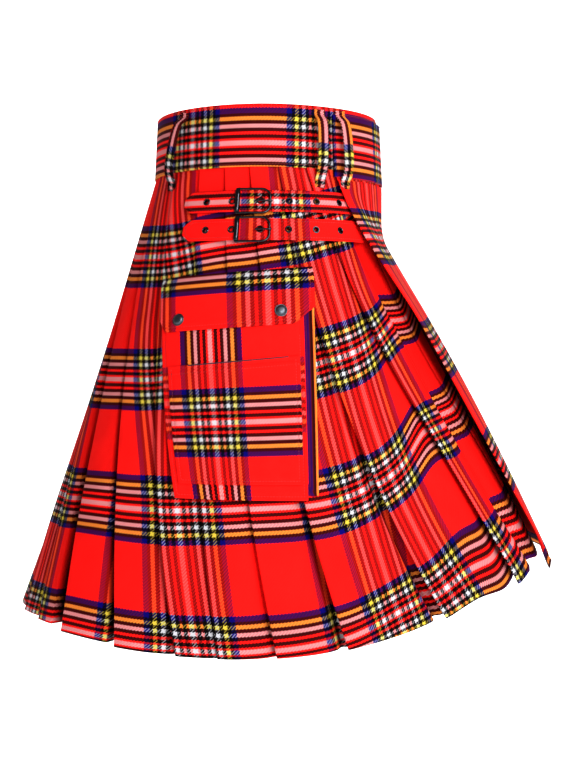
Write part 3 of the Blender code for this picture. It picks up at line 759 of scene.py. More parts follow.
def pleat_knots(share):
    """One level of the pleated wall: panels of (direction, offset, thread across, painted fold shade)."""
    depth = between(PLEAT_DEPTH_WAIST, PLEAT_DEPTH_HEM, share)
    underlap = between(UNDERLAP_WAIST, UNDERLAP_HEM, share)
    panels, steep = [[]], 1 + STEEPNESS * share
    previous, inset = line_direction(PLEATS_START, share), under_inset(share)
    for number, line in enumerate(FOLD_LINES, 1):
        edge, thread = line_direction(line, share), line_thread(line, share)
        radius = skirt_at(edge, share).xy.length
        degree = mm_per_degree(radius)
        row = panels[-1]
        lift = EDGE_LIFTS[number % len(EDGE_LIFTS)] * MM * share**HEM_GROWTH
        for part in FACE_POINTS:                        # the face, up to its folded edge
            here = between(previous, edge, part)
            if number == 1:
                sunk, lean, shade = apron_groove(here, degree, share)
            else:
                past_edge = (here - previous) * degree - underlap * 1000
                sunk, lean, shade = open_groove(number - 1, past_edge, share)
            offset = lift * part * part - inset * (1 - part) ** steep - sunk
            row.append((here + lean * sunk * 1000 / degree, offset, thread + (edge - here) * degree, shade))
        turn = math.degrees(FOLD_ROUND / 2 / radius)
        for angle in EDGE_ANGLES:                       # round the folded edge
            bend = math.radians(angle)
            row.append((edge - turn + turn * math.cos(bend), lift - FOLD_ROUND / 2 * (1 + math.sin(bend)),
                        thread - FOLD_ROUND * 1000 * (angle + 90) / 120, 0.0))
        back = edge - math.degrees(underlap / radius)
        for part in UNDERLAP_POINTS:                    # and back under it
            here = between(edge - turn, back, part)
            row.append((here, lift * (1 - part) - FOLD_ROUND + (2 * FOLD_ROUND - depth) * part,
                        thread - FOLD_THREADS - (edge - here) * degree, 0.0))
        if number in PANEL_ENDS:
            row.append((back, CLOTH / 2 + 2 * SEAM_GAP - depth,
                        thread - 2 * FOLD_THREADS - underlap * 1000, 0.0))
            panels.append([])
        previous, inset = back, depth
    end = line_direction(PLEATS_END, share)
    degree = mm_per_degree(skirt_at(end, share).xy.length)
    for part in FACE_POINTS + (1.0,):                   # the last face ends flat, under the apron
        here = between(previous, end, part)
        panels[-1].append((here, -inset * (1 - part) ** steep, thread - (here - edge) * degree, 0.0))
    return panels


print("points in a level:", [len(panel) for panel in pleat_knots(0.5)])


# %% Make the pleats
def make_pleats():
    levels = [(share, pleat_knots(share)) for share in shares(PLEAT_LEVELS)]
    for number, name in enumerate(PLEAT_PANELS):
        rows, threads, depths = [], [], []
        for share, panels in levels:
            knots = panels[number]
            rows.append([skirt_at(direction, share, offset) for direction, offset, _, _ in knots])
            threads.append([(thread * MM, thread_down(direction, share))
                            for direction, _, thread, _ in knots])
            # painted shade for each point, which darkens the colour in deep folds
            depths.append([deep for *_, deep in knots])
        tuck_into_band(rows, threads)
        make_cloth(name, rows, threads, HEM_CLOTH, "gathered", ["waistband"], depths=depths[:1] * 2 + depths)


make_pleats()

# %% [markdown]
# ## Aprons
#
# The two plain ends of the cloth cross at the front. The inner one runs on from the pleats; the outer one
# lies over it, and its free edge hangs clear of the skirt on the wearer's right. The cloth is cut along a
# plain red stretch there, so the first stripe runs down a thumb's width inside the edge.

# %% Sizes of the aprons
APRON_LAYER = 4.2 * MM
APRON_ROUND = 6                    # power with which the cloth comes back to the skirt beyond its edge
APRON_EDGE_THREAD = -14.0          # mm: the first stripe is this far from the free edge
APRON_TOP_THREAD, APRON_HEM_THREAD = -37.0, 472.0
APRON_LEVELS, APRON_COLUMNS = 100, 72
COLUMN_POWER = 1.35                # the columns stand closer at the free edge
CORNER_SAG, CORNER_START = 14 * MM, 0.9        # the lower corner hangs down, from this share of the way down
CORNER_PLACE, CORNER_WIDTH = 0.06, 0.04        # shares across
UNDER_APRON_END, UNDER_APRON_TURN = -42.0, 20.0        # direction of its end at the waist; its turn to the hem
UNDER_APRON_SINK = 3 * MM          # how much further in it lies at its end
UNDER_APRON_LEVELS, UNDER_APRON_COLUMNS = 60, 28


def apron_span(share):
    """The outer apron's first and last direction, in the band's outer turn."""
    end = line_direction(PLEATS_END, share)
    end += math.degrees(SEAM_GAP / skirt_at(end, share).xy.length)
    return 360 + direction_of(apron_edge(share)), end


def apron_point(across, share):
    edge = apron_edge(share)
    start, end = apron_span(share)
    base = skirt_at(between(start, end, across), share)
    edge_base = skirt_at(start, share)
    lift = edge.xy.length - edge_base.xy.length - APRON_LAYER
    layer = APRON_LAYER * (1 - smoothstep(across, 0.8, 1.0))
    out = Vector((base.x, base.y, 0)).normalized() * (lift * (1 - across) ** APRON_ROUND + layer)
    corner = CORNER_SAG * smoothstep(share, CORNER_START, 1.0)
    corner *= math.exp(-((across - CORNER_PLACE) / CORNER_WIDTH) ** 2)
    return base + out + Vector((0, 0, (edge.z - edge_base.z) * (1 - across) ** 2 - corner))


print("apron:", round(apron_span(1)[0] - apron_span(1)[1]), "degrees wide at the hem")


# %% Make the aprons
def make_under_apron():
    first = FOLD_LINES[0]
    rows, threads = [], []
    for share in shares(UNDER_APRON_LEVELS):
        start = line_direction(PLEATS_START, share)
        degree = mm_per_degree(skirt_at(start, share).xy.length)
        start -= SEAM_GAP * 1000 / degree
        end = UNDER_APRON_END + UNDER_APRON_TURN * share
        edge, thread = line_direction(first, share), line_thread(first, share)
        row, line = [], []
        for across in shares(UNDER_APRON_COLUMNS):
            here = between(start, end, across)
            row.append(skirt_at(here, share, -under_inset(share) - UNDER_APRON_SINK * across))
            line.append(((thread + (edge - here) * degree) * MM, thread_down(here, share)))
        rows.append(row)
        threads.append(line)
    tuck_into_band(rows, threads)
    make_cloth("under_apron", rows, threads, HEM_CLOTH, "hung", ["waistband"])


def make_apron():
    rows, threads = [], []
    columns = [across**COLUMN_POWER for across in shares(APRON_COLUMNS)]
    for share in shares(APRON_LEVELS):
        row = [apron_point(across, share) for across in columns]
        walked, line = APRON_EDGE_THREAD * MM, []
        for here, ahead in zip(row, row[1:] + row[-1:]):
            line.append((walked, between(APRON_TOP_THREAD, APRON_HEM_THREAD, share) * MM))
            walked += (ahead - here).length
        rows.append(row)
        threads.append(line)
    tuck_into_band(rows, threads, on_band_face=True)
    make_cloth("apron", rows, threads, HEM_CLOTH, "hung", ["waistband"])


make_under_apron()
make_apron()

# %% [markdown]
# ## Strips along a path
#
# The waistband and its belt loops are strips of doubled cloth, turned in at both edges. Each is one rule:
# a rounded flat section swept along a guide line. A Geometry Nodes tree does that well, since the guide
# carries everything that changes along it: which way is outward, and which threads of the check lie there.

# %% The tree for sewn strips
def tree_with_inputs(name, **inputs):
    """A new geometry tree with a mesh in, named number inputs, a material and a mesh out."""
    tree = bpy.data.node_groups.new(name, "GeometryNodeTree")
    tree.interface.new_socket("Geometry", in_out="INPUT", socket_type="NodeSocketGeometry")
    for label, value in inputs.items():
        kind = "NodeSocketInt" if isinstance(value, int) else "NodeSocketFloat"
        socket = tree.interface.new_socket(label.replace("_", " "), in_out="INPUT", socket_type=kind)
        socket.default_value = value
    tree.interface.new_socket("Material", in_out="INPUT", socket_type="NodeSocketMaterial")
    tree.interface.new_socket("Geometry", in_out="OUTPUT", socket_type="NodeSocketGeometry")
    return tree, tree.nodes.new("NodeGroupInput"), tree.nodes.new("NodeGroupOutput")


def close_tree(tree, given, out, geometry):
    """Every tree ends in Realize Instances and Set Material."""
    real = add(tree, "GeometryNodeRealizeInstances", None, i0=geometry)
    painted = add(tree, "GeometryNodeSetMaterial", None, Geometry=real, Material=given.outputs["Material"])
    tree.links.new(painted.outputs[0], out.inputs[0])
    return tree


VECTOR_ATTRIBUTE = {"data_type": "FLOAT_VECTOR"}       # the kind that a guide line's points carry


def strip_tree():
    tree, given, out = tree_with_inputs("sewn strip", Width=0.07, Thickness=0.0026, Round=0.0008)
    outward = add(tree, "GeometryNodeInputNamedAttribute", VECTOR_ATTRIBUTE, Name="outward")
    line = add(tree, "GeometryNodeMeshToCurve", None, Mesh=given.outputs["Geometry"])
    facing = add(tree, "GeometryNodeSetCurveNormal", {"mode": "FREE"}, Curve=line, Normal=outward)
    section = add(tree, "GeometryNodeCurvePrimitiveQuadrilateral", None, Width=given.outputs["Thickness"],
                  Height=given.outputs["Width"])
    section = add(tree, "GeometryNodeFilletCurve", {"mode": "POLY"}, Curve=section, Count=3,
                  Radius=given.outputs["Round"])
    # each point of the section remembers how far across the strip it lies, for the UV map
    place = add(tree, "GeometryNodeInputPosition")
    split = add(tree, "ShaderNodeSeparateXYZ", None, Vector=place)
    section = add(tree, "GeometryNodeStoreNamedAttribute", {"data_type": "FLOAT", "domain": "POINT"},
                  Geometry=section, Name="across", Value=split.outputs["Y"])
    swept = add(tree, "GeometryNodeCurveToMesh", None, Curve=facing, Profile_Curve=section, Fill_Caps=True)
    thread = add(tree, "GeometryNodeInputNamedAttribute", VECTOR_ATTRIBUTE, Name="thread")
    thread_side = add(tree, "GeometryNodeInputNamedAttribute", VECTOR_ATTRIBUTE, Name="thread_side")
    across = add(tree, "GeometryNodeInputNamedAttribute", {"data_type": "FLOAT"}, Name="across")
    side = add(tree, "ShaderNodeVectorMath", {"operation": "SCALE"}, Vector=thread_side, Scale=across)
    place = add(tree, "ShaderNodeVectorMath", None, i0=thread, i1=side)
    mapped = add(tree, "GeometryNodeStoreNamedAttribute", {"data_type": "FLOAT2", "domain": "CORNER"},
                 Geometry=swept, Name="UVMap", Value=place)
    return close_tree(tree, given, out, mapped)


def guide_mesh(name, lines):
    """Polylines that carry vectors: each line is a list of {"at": point, attribute: vector}."""
    mesh = bpy.data.meshes.new(name)
    points = [point for line in lines for point in line]
    edges, start = [], 0
    for line in lines:
        edges += [(start + n, start + n + 1) for n in range(len(line) - 1)]
        start += len(line)
    mesh.from_pydata([point["at"] for point in points], edges, [])
    for key in points[0]:
        if key != "at":
            values = mesh.attributes.new(key, "FLOAT_VECTOR", "POINT").data
            for value, point in zip(values, points):
                value.vector = point[key]
    return mesh


def grow(name, guide, tree, material, **sizes):
    """Run a tree on a guide and keep the result as a plain mesh."""
    item = link(bpy.data.objects.new(name, guide))
    modifier = item.modifiers.new("Tree", "NODES")
    modifier.node_group = tree
    sockets = {socket.name: socket.identifier for socket in tree.interface.items_tree
               if socket.item_type == "SOCKET" and socket.in_out == "INPUT"}
    modifier[sockets["Material"]] = material
    for label, value in sizes.items():
        modifier[sockets[label.replace("_", " ")]] = value
    mesh = bake(item)
    smooth(mesh, 35.0)
    print(f"{name}: {len(mesh.polygons)} faces from a tree")
    return link(bpy.data.objects.new(name, mesh))


STRIP = strip_tree()
print("strip tree:", len(STRIP.nodes), "nodes")

# %% Make the waistband
BAND_POINTS = 220
BAND_WIDTH = 70 * MM               # of the strip before it is drawn wider or narrower
BAND_MIDDLE_DIRECTION = 83.4       # where a stripe group starts on the band


def band_layer(direction):
    return APRON_LAYER * smoothstep(direction, BAND_STEP_START, BAND_STEP_END)


def band_point(direction, height, offset):
    taper = BAND_TAPER * (height - SKIRT_TOP) / (-2 * SKIRT_TOP)
    return around(direction, waist_radius(direction) - taper + offset, height)


def make_waistband():
    line, walked, previous = [], 0.0, None
    for part in shares(BAND_POINTS):
        direction = between(BAND[0][0], BAND[-1][0], part)
        bottom, top = band_bottom(direction), band_top(direction)
        at = band_point(direction, (bottom + top) / 2, band_layer(direction))
        lean = band_point(direction, top, 0) - band_point(direction, bottom, 0)
        out = lean.cross(around(direction + 1, 1, 0) - around(direction - 1, 1, 0)).normalized()
        walked += (at - previous).length if previous else 0.0
        previous = at
        line.append({"at": at, "outward": facing_out(out, at),
                     "thread": [-walked, (top - bottom) / 2 - read_table(BAND, direction, 3) * MM, 0],
                     "thread_side": (0, -(top - bottom) / BAND_WIDTH, 0)})
        if direction < BAND_MIDDLE_DIRECTION:
            start = walked
    for point in line:
        point["thread"][0] += start
    band = grow("cloth_waistband", guide_mesh("band guide", [line]), STRIP, SKIRT_CLOTH,
                Width=BAND_WIDTH, Thickness=BAND_THICKNESS)
    finish_cloth(band, "waistband")


make_waistband()

# %% [markdown]
# ## Belt loops
#
# A loop is a strip of the same cloth, folded to a third and sewn down at both ends, so that it stands off
# the band like a handle. The same tree sweeps it. Its ends are caught by a bar of close stitches.

# %% Make the belt loops
LOOP_WIDTH, LOOP_THICKNESS, LOOP_STAND = 12.5 * MM, 2.0 * MM, 11.0 * MM
LOOP_TOP, LOOP_FOOT = 34.0 * MM, -53.0 * MM
LOOP_POINTS = 48
LOOP_LEAVES, LOOP_LANDS = -34 * MM, -46 * MM   # heights where its foot goes over from the band to the skirt
LOOP_CURL, LOOP_CURL_START = 3.2 * MM, 0.95    # its end is turned in
LOOP_STANDS = [
    # height mm, stand-off as a share of the full loop
    (-53, 0.04),
    (-45, 0.04),
    (-39, 0.6),
    (-30, 1.0),
    (-11, 1.1),
    (10, 1.0),
    (21, 0.7),
    (28, 0.0),
    (34, 0.0),
]
BELT_LOOPS = [
    # name, direction of its top, of its foot, thread across its middle mm, +1 or -1 way round
    ("belt_loop_apron", 57.5, 56.0, 16.0, 1),
    ("belt_loop_right", 67.5, 68.5, 17.2, -1),
    ("belt_loop_back_right", 131.5, 139.0, 20.5, 1),
    ("belt_loop_back_left", 222.0, 220.0, 13.0, 1),
    ("belt_loop_left", 297.0, 295.0, 13.0, -1),
]
LOOP_WEFT_START = -43.0            # thread down the loop at its top, mm


def apron_radius(direction, height):
    """How far the outer apron stands from the axis: the share down is corrected until it meets the height."""
    top = band_bottom(360 + direction) - SEAM_GAP
    length = top - hem_height(direction)
    share = (top - height) / length
    for _ in range(4):
        start, end = apron_span(share)
        point = apron_point((360 + direction - start) / (end - start), share)
        share += (point.z - height) / length
    return point.xy.length


def loop_line(name, top, foot, thread, way):
    on_apron = name == "belt_loop_apron"
    layer = APRON_LAYER if on_apron else band_layer(top)
    on_band = BAND_THICKNESS / 2 + SEAM_GAP + LOOP_THICKNESS / 2 + layer
    places = []
    for share in shares(LOOP_POINTS):
        height, middle = between(LOOP_TOP, LOOP_FOOT, share), between(top, foot, share)
        stand = on_band + LOOP_STAND * read_table(LOOP_STANDS, height / MM, 1)
        on_cloth = apron_radius(middle, height) - layer if on_apron else skirt_radius(middle, height)
        below = smoothstep(height, LOOP_LEAVES, LOOP_LANDS)
        radius = band_point(middle, height, 0).xy.length * (1 - below) + on_cloth * below
        curl = LOOP_CURL * smoothstep(share, LOOP_CURL_START, 1.0)
        places.append(around(middle, radius + stand - curl, height))
    line, walked = [], LOOP_WEFT_START * MM
    for number, place in enumerate(places):
        ahead = places[min(number + 1, LOOP_POINTS - 1)]
        out = (ahead - places[max(number - 1, 0)]).cross(around(top + 90, 1, 0)).normalized()
        line.append({"at": place, "outward": facing_out(out, around(top, 1, 0)),
                     "thread": (walked, thread * MM, 0), "thread_side": (0, way, 0)})
        walked += (ahead - place).length
    return line


loop_lines = {}
for loop in BELT_LOOPS:
    loop_lines[loop[0]] = loop_line(*loop)
    strip = grow("cloth_" + loop[0], guide_mesh("loop guide", [loop_lines[loop[0]]]), STRIP, SKIRT_CLOTH,
                 Width=LOOP_WIDTH, Thickness=LOOP_THICKNESS)
    finish_cloth(strip, loop[0])

# %% [markdown]
# ## Straps
#
# The straps are cut flat, pointed at the tip and punched for their eyelets, and only then laid round the
# hip. The model does it in the same order: a flat sheet gets its holes, and every point is then moved to
# its place over the skirt. One strap is cut along a white stripe, the other along plain red.

# %% Sizes of the straps
STRAP_WIDTH, STRAP_THICKNESS = 24.0 * MM, 1.8 * MM
STRAP_BUCKLE_DIRECTION = 96.0
STRAP_TIP, STRAP_ROOT = 85.0 * MM, -138.0 * MM         # distances from the buckle's bar towards the back
STRAP_POINT, STRAP_POINT_CUT = 11.0 * MM, 0.62         # length of the point, and share of the width it loses
STRAP_GRID = (150, 10)
STRAP_RIM, STRAP_RIM_THIN = 1.6 * MM, 0.28     # the rim is rounded over this width, and thinner by this share
SEAM_INSET, SEAM_WIDTH, SEAM_PINCH = 3.2 * MM, 0.7 * MM, 0.16  # the seam draws the cloth in by this share
STRAP_LIFT = [
    # distance from the bar mm, lift of the strap's middle mm
    (-140, 2.4),
    (-32, 2.3),
    (-17, 3.1),
    (0, 5.5),
    (12, 3.9),
    (30, 3.7),
    (44, 2.4),
    (86, 2.2),
]
EYELET_PITCH, EYELET_FIRST = 31.0 * MM, -8.0 * MM
EYELET_COUNTS = (3, 2)
EYELET_HOLE, EYELET_FLANGE, EYELET_HEIGHT = 5.0 * MM, 8.4 * MM, 0.9 * MM
STRAP_THREAD_START = 13.0          # thread of the check under the bar, mm
STRAPS = [
    # name, height of its middle mm, the check's thread along its middle mm
    ("upper", -69.6, 37.65),
    ("lower", -101.3, 112.0),
]
print("strap:", round((STRAP_TIP - STRAP_ROOT) / MM), "mm long")

# %% The strap's run round the hip
WALK_START, WALK_END = -142, 92    # mm from the bar, a little beyond the strap's two ends


def walk(direction, height, distance):
    """The direction reached by going a distance towards the back at one height."""
    step = math.copysign(1.0 * MM, distance)
    for _ in range(int(abs(distance) / MM)):
        here = skirt_point(direction, height)
        ahead = skirt_point(direction + 0.1, height)
        direction += 0.1 * step / (ahead - here).length
    return direction


WALKS = {
    height * MM: {n: walk(STRAP_BUCKLE_DIRECTION, height * MM, n * MM) for n in range(WALK_START, WALK_END)}
    for _, height, _ in STRAPS
}


def strap_point(distance, across, lift, height):
    """A point over the strap's run: distance from the bar towards the back, across its width, and lift."""
    whole = math.floor(distance / MM)
    before, after = WALKS[height][whole], WALKS[height][whole + 1]
    return skirt_point(between(before, after, distance / MM - whole), height + across, lift)


def strap_frame(distance, across, lift, height):
    """That point and the direction that faces outwards there."""
    at = strap_point(distance, across, lift, height)
    along = strap_point(distance + 2 * MM, across, lift, height) - at
    up = strap_point(distance, across + 2 * MM, lift, height) - at
    return {"at": at, "outward": facing_out(along.cross(up).normalized(), at)}


def strap_lift(distance):
    return read_table(STRAP_LIFT, distance / MM, 1) * MM


def eyelet_places():
    before, after = EYELET_COUNTS
    return [EYELET_FIRST + EYELET_PITCH * n for n in range(-before, after + 1)]


def strap_edge(along, across):
    """Its thickness as a share: rounded off at the rim, and drawn in along the seam."""
    rim = min(STRAP_WIDTH / 2 - abs(across), STRAP_TIP - along)
    seam = SEAM_PINCH * math.exp(-((rim - SEAM_INSET) / SEAM_WIDTH) ** 2)
    return 1 - STRAP_RIM_THIN + STRAP_RIM_THIN * smoothstep(rim, 0.0, STRAP_RIM) - seam


print("eyelets:", [round(place / MM) for place in eyelet_places()], "mm from the bar")


# %% Make the straps
def make_strap(name, height, thread):
    flat = bmesh.new()
    bmesh.ops.create_grid(flat, x_segments=STRAP_GRID[0], y_segments=STRAP_GRID[1], size=0.5)
    for vertex in flat.verts:
        along = STRAP_ROOT + (vertex.co.x + 0.5) * (STRAP_TIP - STRAP_ROOT)
        point = max(0.0, along - (STRAP_TIP - STRAP_POINT)) / STRAP_POINT
        vertex.co = (along, vertex.co.y * STRAP_WIDTH * (1 - STRAP_POINT_CUT * point), 0)
    mesh = bpy.data.meshes.new(name)
    flat.to_mesh(mesh)
    flat.free()
    blank = link(bpy.data.objects.new("strap blank", mesh))
    solid = blank.modifiers.new("Cloth thickness", "SOLIDIFY")
    solid.thickness, solid.offset = STRAP_THICKNESS, 0.0
    drills = []
    for place in eyelet_places():
        bpy.ops.mesh.primitive_cylinder_add(vertices=24, radius=EYELET_HOLE / 2, depth=10 * MM,
                                            location=(place, 0, 0))
        drills.append(bpy.context.object)
        hole = blank.modifiers.new("Eyelet hole", "BOOLEAN")
        hole.operation, hole.object = "DIFFERENCE", drills[-1]
    mesh = bake(blank)
    for drill in drills:
        bpy.data.objects.remove(drill)
    layer = mesh.uv_layers.get("UVMap") or mesh.uv_layers.new(name="UVMap")
    for loop in mesh.loops:
        along, across, _ = mesh.vertices[loop.vertex_index].co
        layer.data[loop.index].uv = (STRAP_THREAD_START * MM - along, thread * MM - across)
    for vertex in mesh.vertices:
        along, across, off = vertex.co
        lift = off * strap_edge(along, across) + strap_lift(along)
        vertex.co = strap_point(along, across, lift, height * MM)
    mesh.flip_normals()
    smooth(mesh, 40.0)
    mesh.materials.clear()
    mesh.materials.append(SKIRT_CLOTH)
    strap = link(bpy.data.objects.new(f"cloth_strap_{name}", mesh))
    finish_cloth(strap, f"strap_{name}")


for strap_row in STRAPS:
    make_strap(*strap_row)

# %% [markdown]
# ## Eyelets, buckles and snaps
#
# The metal parts are brass or steel with a thin plate of black nickel: dark, smooth and shiny, and a
# little lighter where it is rubbed. An eyelet is a short tube whose rim is rolled over the cloth. All
# eyelets of a strap are copies of one rolled ring, set on points by a tree that turns each to face
# outwards.

# %% The black nickel finish
def black_nickel(name, base, rubbed, roughness):
    """Electroplated metal: mirror-like over a dark grey, with softer gloss where fingers rub it."""
    material, tree, shader = start_material(name)
    cloud = add(tree, "ShaderNodeTexNoise", {"noise_dimensions": "3D"}, Scale=260.0, Detail=3.0)
    tone = add(tree, "ShaderNodeMix", BLEND, i0=cloud, i6=linear(base), i7=linear(rubbed))
    gloss = add(tree, "ShaderNodeMapRange", None, i0=cloud, i1=0.3, i2=0.7,
                i3=roughness * 0.7, i4=roughness * 1.4)
    tree.links.new(tone.outputs[2], shader.inputs["Base Color"])
    tree.links.new(gloss.outputs[0], shader.inputs["Roughness"])
    shader.inputs["Metallic"].default_value = 1.0
    return material


GUNMETAL = black_nickel("black_nickel_plate", "#1C1C20", "#46464C", 0.22)
SNAP_METAL = black_nickel("black_nickel_satin", "#3A3D42", "#5A5E66", 0.4)
print("metals:", GUNMETAL.name, SNAP_METAL.name)

# %% Make the eyelets
def eyelet_tree():
    tree, given, out = tree_with_inputs("rolled eyelets", Flange=0.0084, Hole=0.005, Height=0.0009)
    flange, hole = given.outputs["Flange"], given.outputs["Hole"]
    # the rolled rim: a tube round the hole, pressed flat
    total = add(tree, "ShaderNodeMath", {"operation": "ADD"}, i0=flange, i1=hole)
    middle = add(tree, "ShaderNodeMath", TIMES, i0=total, i1=0.25)
    wall = add(tree, "ShaderNodeMath", {"operation": "SUBTRACT"}, i0=flange, i1=hole)
    wall = add(tree, "ShaderNodeMath", TIMES, i0=wall, i1=0.25)
    ring = add(tree, "GeometryNodeCurvePrimitiveCircle", None, Resolution=24, Radius=middle)
    section = add(tree, "GeometryNodeCurvePrimitiveCircle", None, Resolution=10, Radius=wall)
    rim = add(tree, "GeometryNodeCurveToMesh", None, Curve=ring, Profile_Curve=section)
    share = add(tree, "ShaderNodeMath", {"operation": "DIVIDE"}, i0=given.outputs["Height"], i1=wall)
    squash = add(tree, "ShaderNodeCombineXYZ", None, X=1.0, Y=1.0, Z=share)
    rim = add(tree, "GeometryNodeTransform", None, Geometry=rim, Scale=squash)
    # and the barrel that goes down through the strap
    inner = add(tree, "ShaderNodeMath", TIMES, i0=hole, i1=0.46)
    barrel = add(tree, "GeometryNodeMeshCylinder", {"fill_type": "NONE"}, Vertices=24, Radius=inner,
                 Depth=0.0036)
    barrel = add(tree, "GeometryNodeTransform", None, Geometry=barrel, Translation=(0, 0, -0.0016))
    eyelet = add(tree, "GeometryNodeJoinGeometry", None, Geometry=rim)
    tree.links.new(barrel.outputs[0], eyelet.inputs[0])
    outward = add(tree, "GeometryNodeInputNamedAttribute", VECTOR_ATTRIBUTE, Name="outward")
    turn = add(tree, "FunctionNodeAlignRotationToVector", {"axis": "Z"}, Vector=outward)
    set_in = add(tree, "GeometryNodeInstanceOnPoints", None, Points=given.outputs["Geometry"],
                 Instance=eyelet, Rotation=turn)
    return close_tree(tree, given, out, set_in)


EYELETS = eyelet_tree()
for name, height, _ in STRAPS:
    points = [strap_frame(place, 0, strap_lift(place) + STRAP_THICKNESS / 2, height * MM)
              for place in eyelet_places()]
    eyelets = grow(f"eyelets_{name}", guide_mesh("eyelet places", [points]), EYELETS, GUNMETAL,
                   Flange=EYELET_FLANGE, Hole=EYELET_HOLE, Height=EYELET_HEIGHT)
    finish_piece(eyelets, "gunmetal", *[f"eyelet_{name}_{n}" for n in range(1, 7)])

# %% Make the buckles
FRAME_LENGTH, FRAME_HEIGHT, FRAME_WIRE = 38.0 * MM, 28.6 * MM, 2.0 * MM
FRAME_LIFT, FRAME_BACK = 6.6 * MM, 17.5 * MM
FRAME_FRONT = FRAME_BACK - FRAME_LENGTH + FRAME_WIRE
FRAME_CORNER = 9.0 * MM            # the D's two round corners
FRAME_THIN, FRAME_WIDE = 0.6 * FRAME_WIRE, 0.8 * FRAME_WIRE    # radius round the D and at its straight end
BAR_LIFT, BAR_RADIUS = 2.75 * MM, 1.1 * MM
TONGUE_WIRE = 2.0 * MM
TONGUE_REST = FRAME_LIFT + FRAME_WIRE / 2 + TONGUE_WIRE / 2 + SEAM_GAP         # its lift over the frame
TONGUE = [
    # distance from the bar mm, lift mm, thickness as a share
    (-3.5, 8.5, 1.05),
    (-5, 8.7, 1.15),
    (-7, 8.75, 1.05),
    (-9, 8.7, 0.95),
    (-11.5, 8.7, 0.92),
    (-14, 8.8, 0.95),
    (FRAME_FRONT / MM, TONGUE_REST / MM, 0.95),
    (FRAME_FRONT / MM - 1.4, TONGUE_REST / MM - 0.2, 0.85),
    (FRAME_FRONT / MM - 2.5, TONGUE_REST / MM - 0.7, 0.6),
]
ROLLER = [
    # share of half its length, radius mm
    (-1.0, 2.5),
    (-0.97, 2.9),
    (-0.5, 2.9),
    (0.0, 2.9),
    (0.5, 2.9),
    (0.97, 2.9),
    (1.0, 2.5),
]
ROLLER_REACH, ROLLER_AT = 0.44 * FRAME_HEIGHT, FRAME_BACK - 0.8 * MM
TAB_LENGTH, TAB_WIDTH, TAB_THICKNESS = 30.0 * MM, 20.0 * MM, 1.0 * MM
TAB_START, TAB_LIFT = 2.2 * MM, 1.55 * MM
TAB_THREAD = 112                   # thread of the check along the tab, mm


def wire(name, points, radii, closed=False):
    """A rod along points with its own radius at each."""
    curve = bpy.data.curves.new(name, "CURVE")
    curve.dimensions = "3D"
    curve.bevel_depth, curve.bevel_resolution = 1.0, 5
    curve.use_fill_caps = True
    spline = curve.splines.new("POLY")
    spline.points.add(len(points) - 1)
    for target, point, radius in zip(spline.points, points, radii):
        target.co, target.radius = (*point, 1), radius
    spline.use_cyclic_u = closed
    mesh = bake(link(bpy.data.objects.new(name, curve)))
    mesh.materials.clear()
    mesh.materials.append(GUNMETAL)
    mesh.shade_smooth()
    return link(bpy.data.objects.new(name, mesh))


def frame_outline():
    """The buckle frame, from its straight end round the D: (along the strap, across it, wire radius)."""
    half = FRAME_HEIGHT / 2 - FRAME_WIRE / 2
    straight_end = [(FRAME_BACK, -half + 2 * half * part, FRAME_WIDE) for part in shares(9)]
    side = [(FRAME_BACK - 2.5 * MM, half + 0.3 * MM, 1.1 * FRAME_THIN)]
    side += [(FRAME_BACK - 5 * MM, half, FRAME_THIN)]
    side += [(along * MM, half, FRAME_THIN) for along in (8, 4, 0, -4)]
    for turn in [math.radians(n * 7.5) for n in range(13)]:
        side.append((FRAME_FRONT + FRAME_CORNER * (1 - math.sin(turn)),
                     half - FRAME_CORNER * (1 - math.cos(turn)), FRAME_THIN))
    return straight_end + side + [(along, -across, radius) for along, across, radius in side[::-1]]


def make_tab(name, height):
    """The tab of cloth that holds the buckle's bar."""
    rows, threads = [], []
    for part in shares(12):
        along = between(TAB_START, TAB_LENGTH, part)
        rows.append([strap_point(along, TAB_WIDTH * (side - 0.5), TAB_LIFT, height) for side in shares(8)])
        threads.append([(STRAP_THREAD_START * MM - TAB_LENGTH * part, TAB_THREAD * MM - TAB_WIDTH * side)
                        for side in shares(8)])
    make_cloth(f"buckle_tab_{name}", rows, threads, 0.020, "stretched", thickness=TAB_THICKNESS)


def make_buckle(name, height):
    outline = frame_outline()
    frame = wire(f"metal_buckle_frame_{name}",
                 [strap_point(along, across, FRAME_LIFT, height) for along, across, _ in outline],
                 [radius for _, _, radius in outline], closed=True)
    reach = FRAME_HEIGHT / 2 - FRAME_WIRE - SEAM_GAP
    bar = wire(f"metal_buckle_bar_{name}",
               [strap_point(0.0, -reach + 2 * reach * part, BAR_LIFT, height) for part in shares(9)],
               [BAR_RADIUS] * 9)
    tongue = wire(f"metal_buckle_tongue_{name}",
                  [strap_point(along * MM, 0.0, lift * MM, height) for along, lift, _ in TONGUE],
                  [TONGUE_WIRE / 2 * size for _, _, size in TONGUE])
    roller = wire(f"metal_buckle_roller_{name}",
                  [strap_point(ROLLER_AT, ROLLER_REACH * side, FRAME_LIFT, height) for side, _ in ROLLER],
                  [radius * MM for _, radius in ROLLER])
    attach(roller, "root")
    for item, node in ((frame, "frame"), (bar, "bar"), (tongue, "tongue")):
        finish_piece(item, "gunmetal", f"buckle_{node}_{name}")
    make_tab(name, height)


for name, height, _ in STRAPS:
    make_buckle(name, height * MM)

# %% [markdown]
# ## Hip pocket
#
# The pocket is a flat bag: a back and a front panel joined by a folded side strip, a patch sewn on the
# front, and a flap over its mouth with two snaps. Its front panel is cut with the cloth turned by a
# quarter, so its bright weft stripes stand upright, and the patch is cut straight and matched to them.
# A turned-in edge is thicker than the cloth, and the stitch line beside it sinks in; `pressed` gives both.

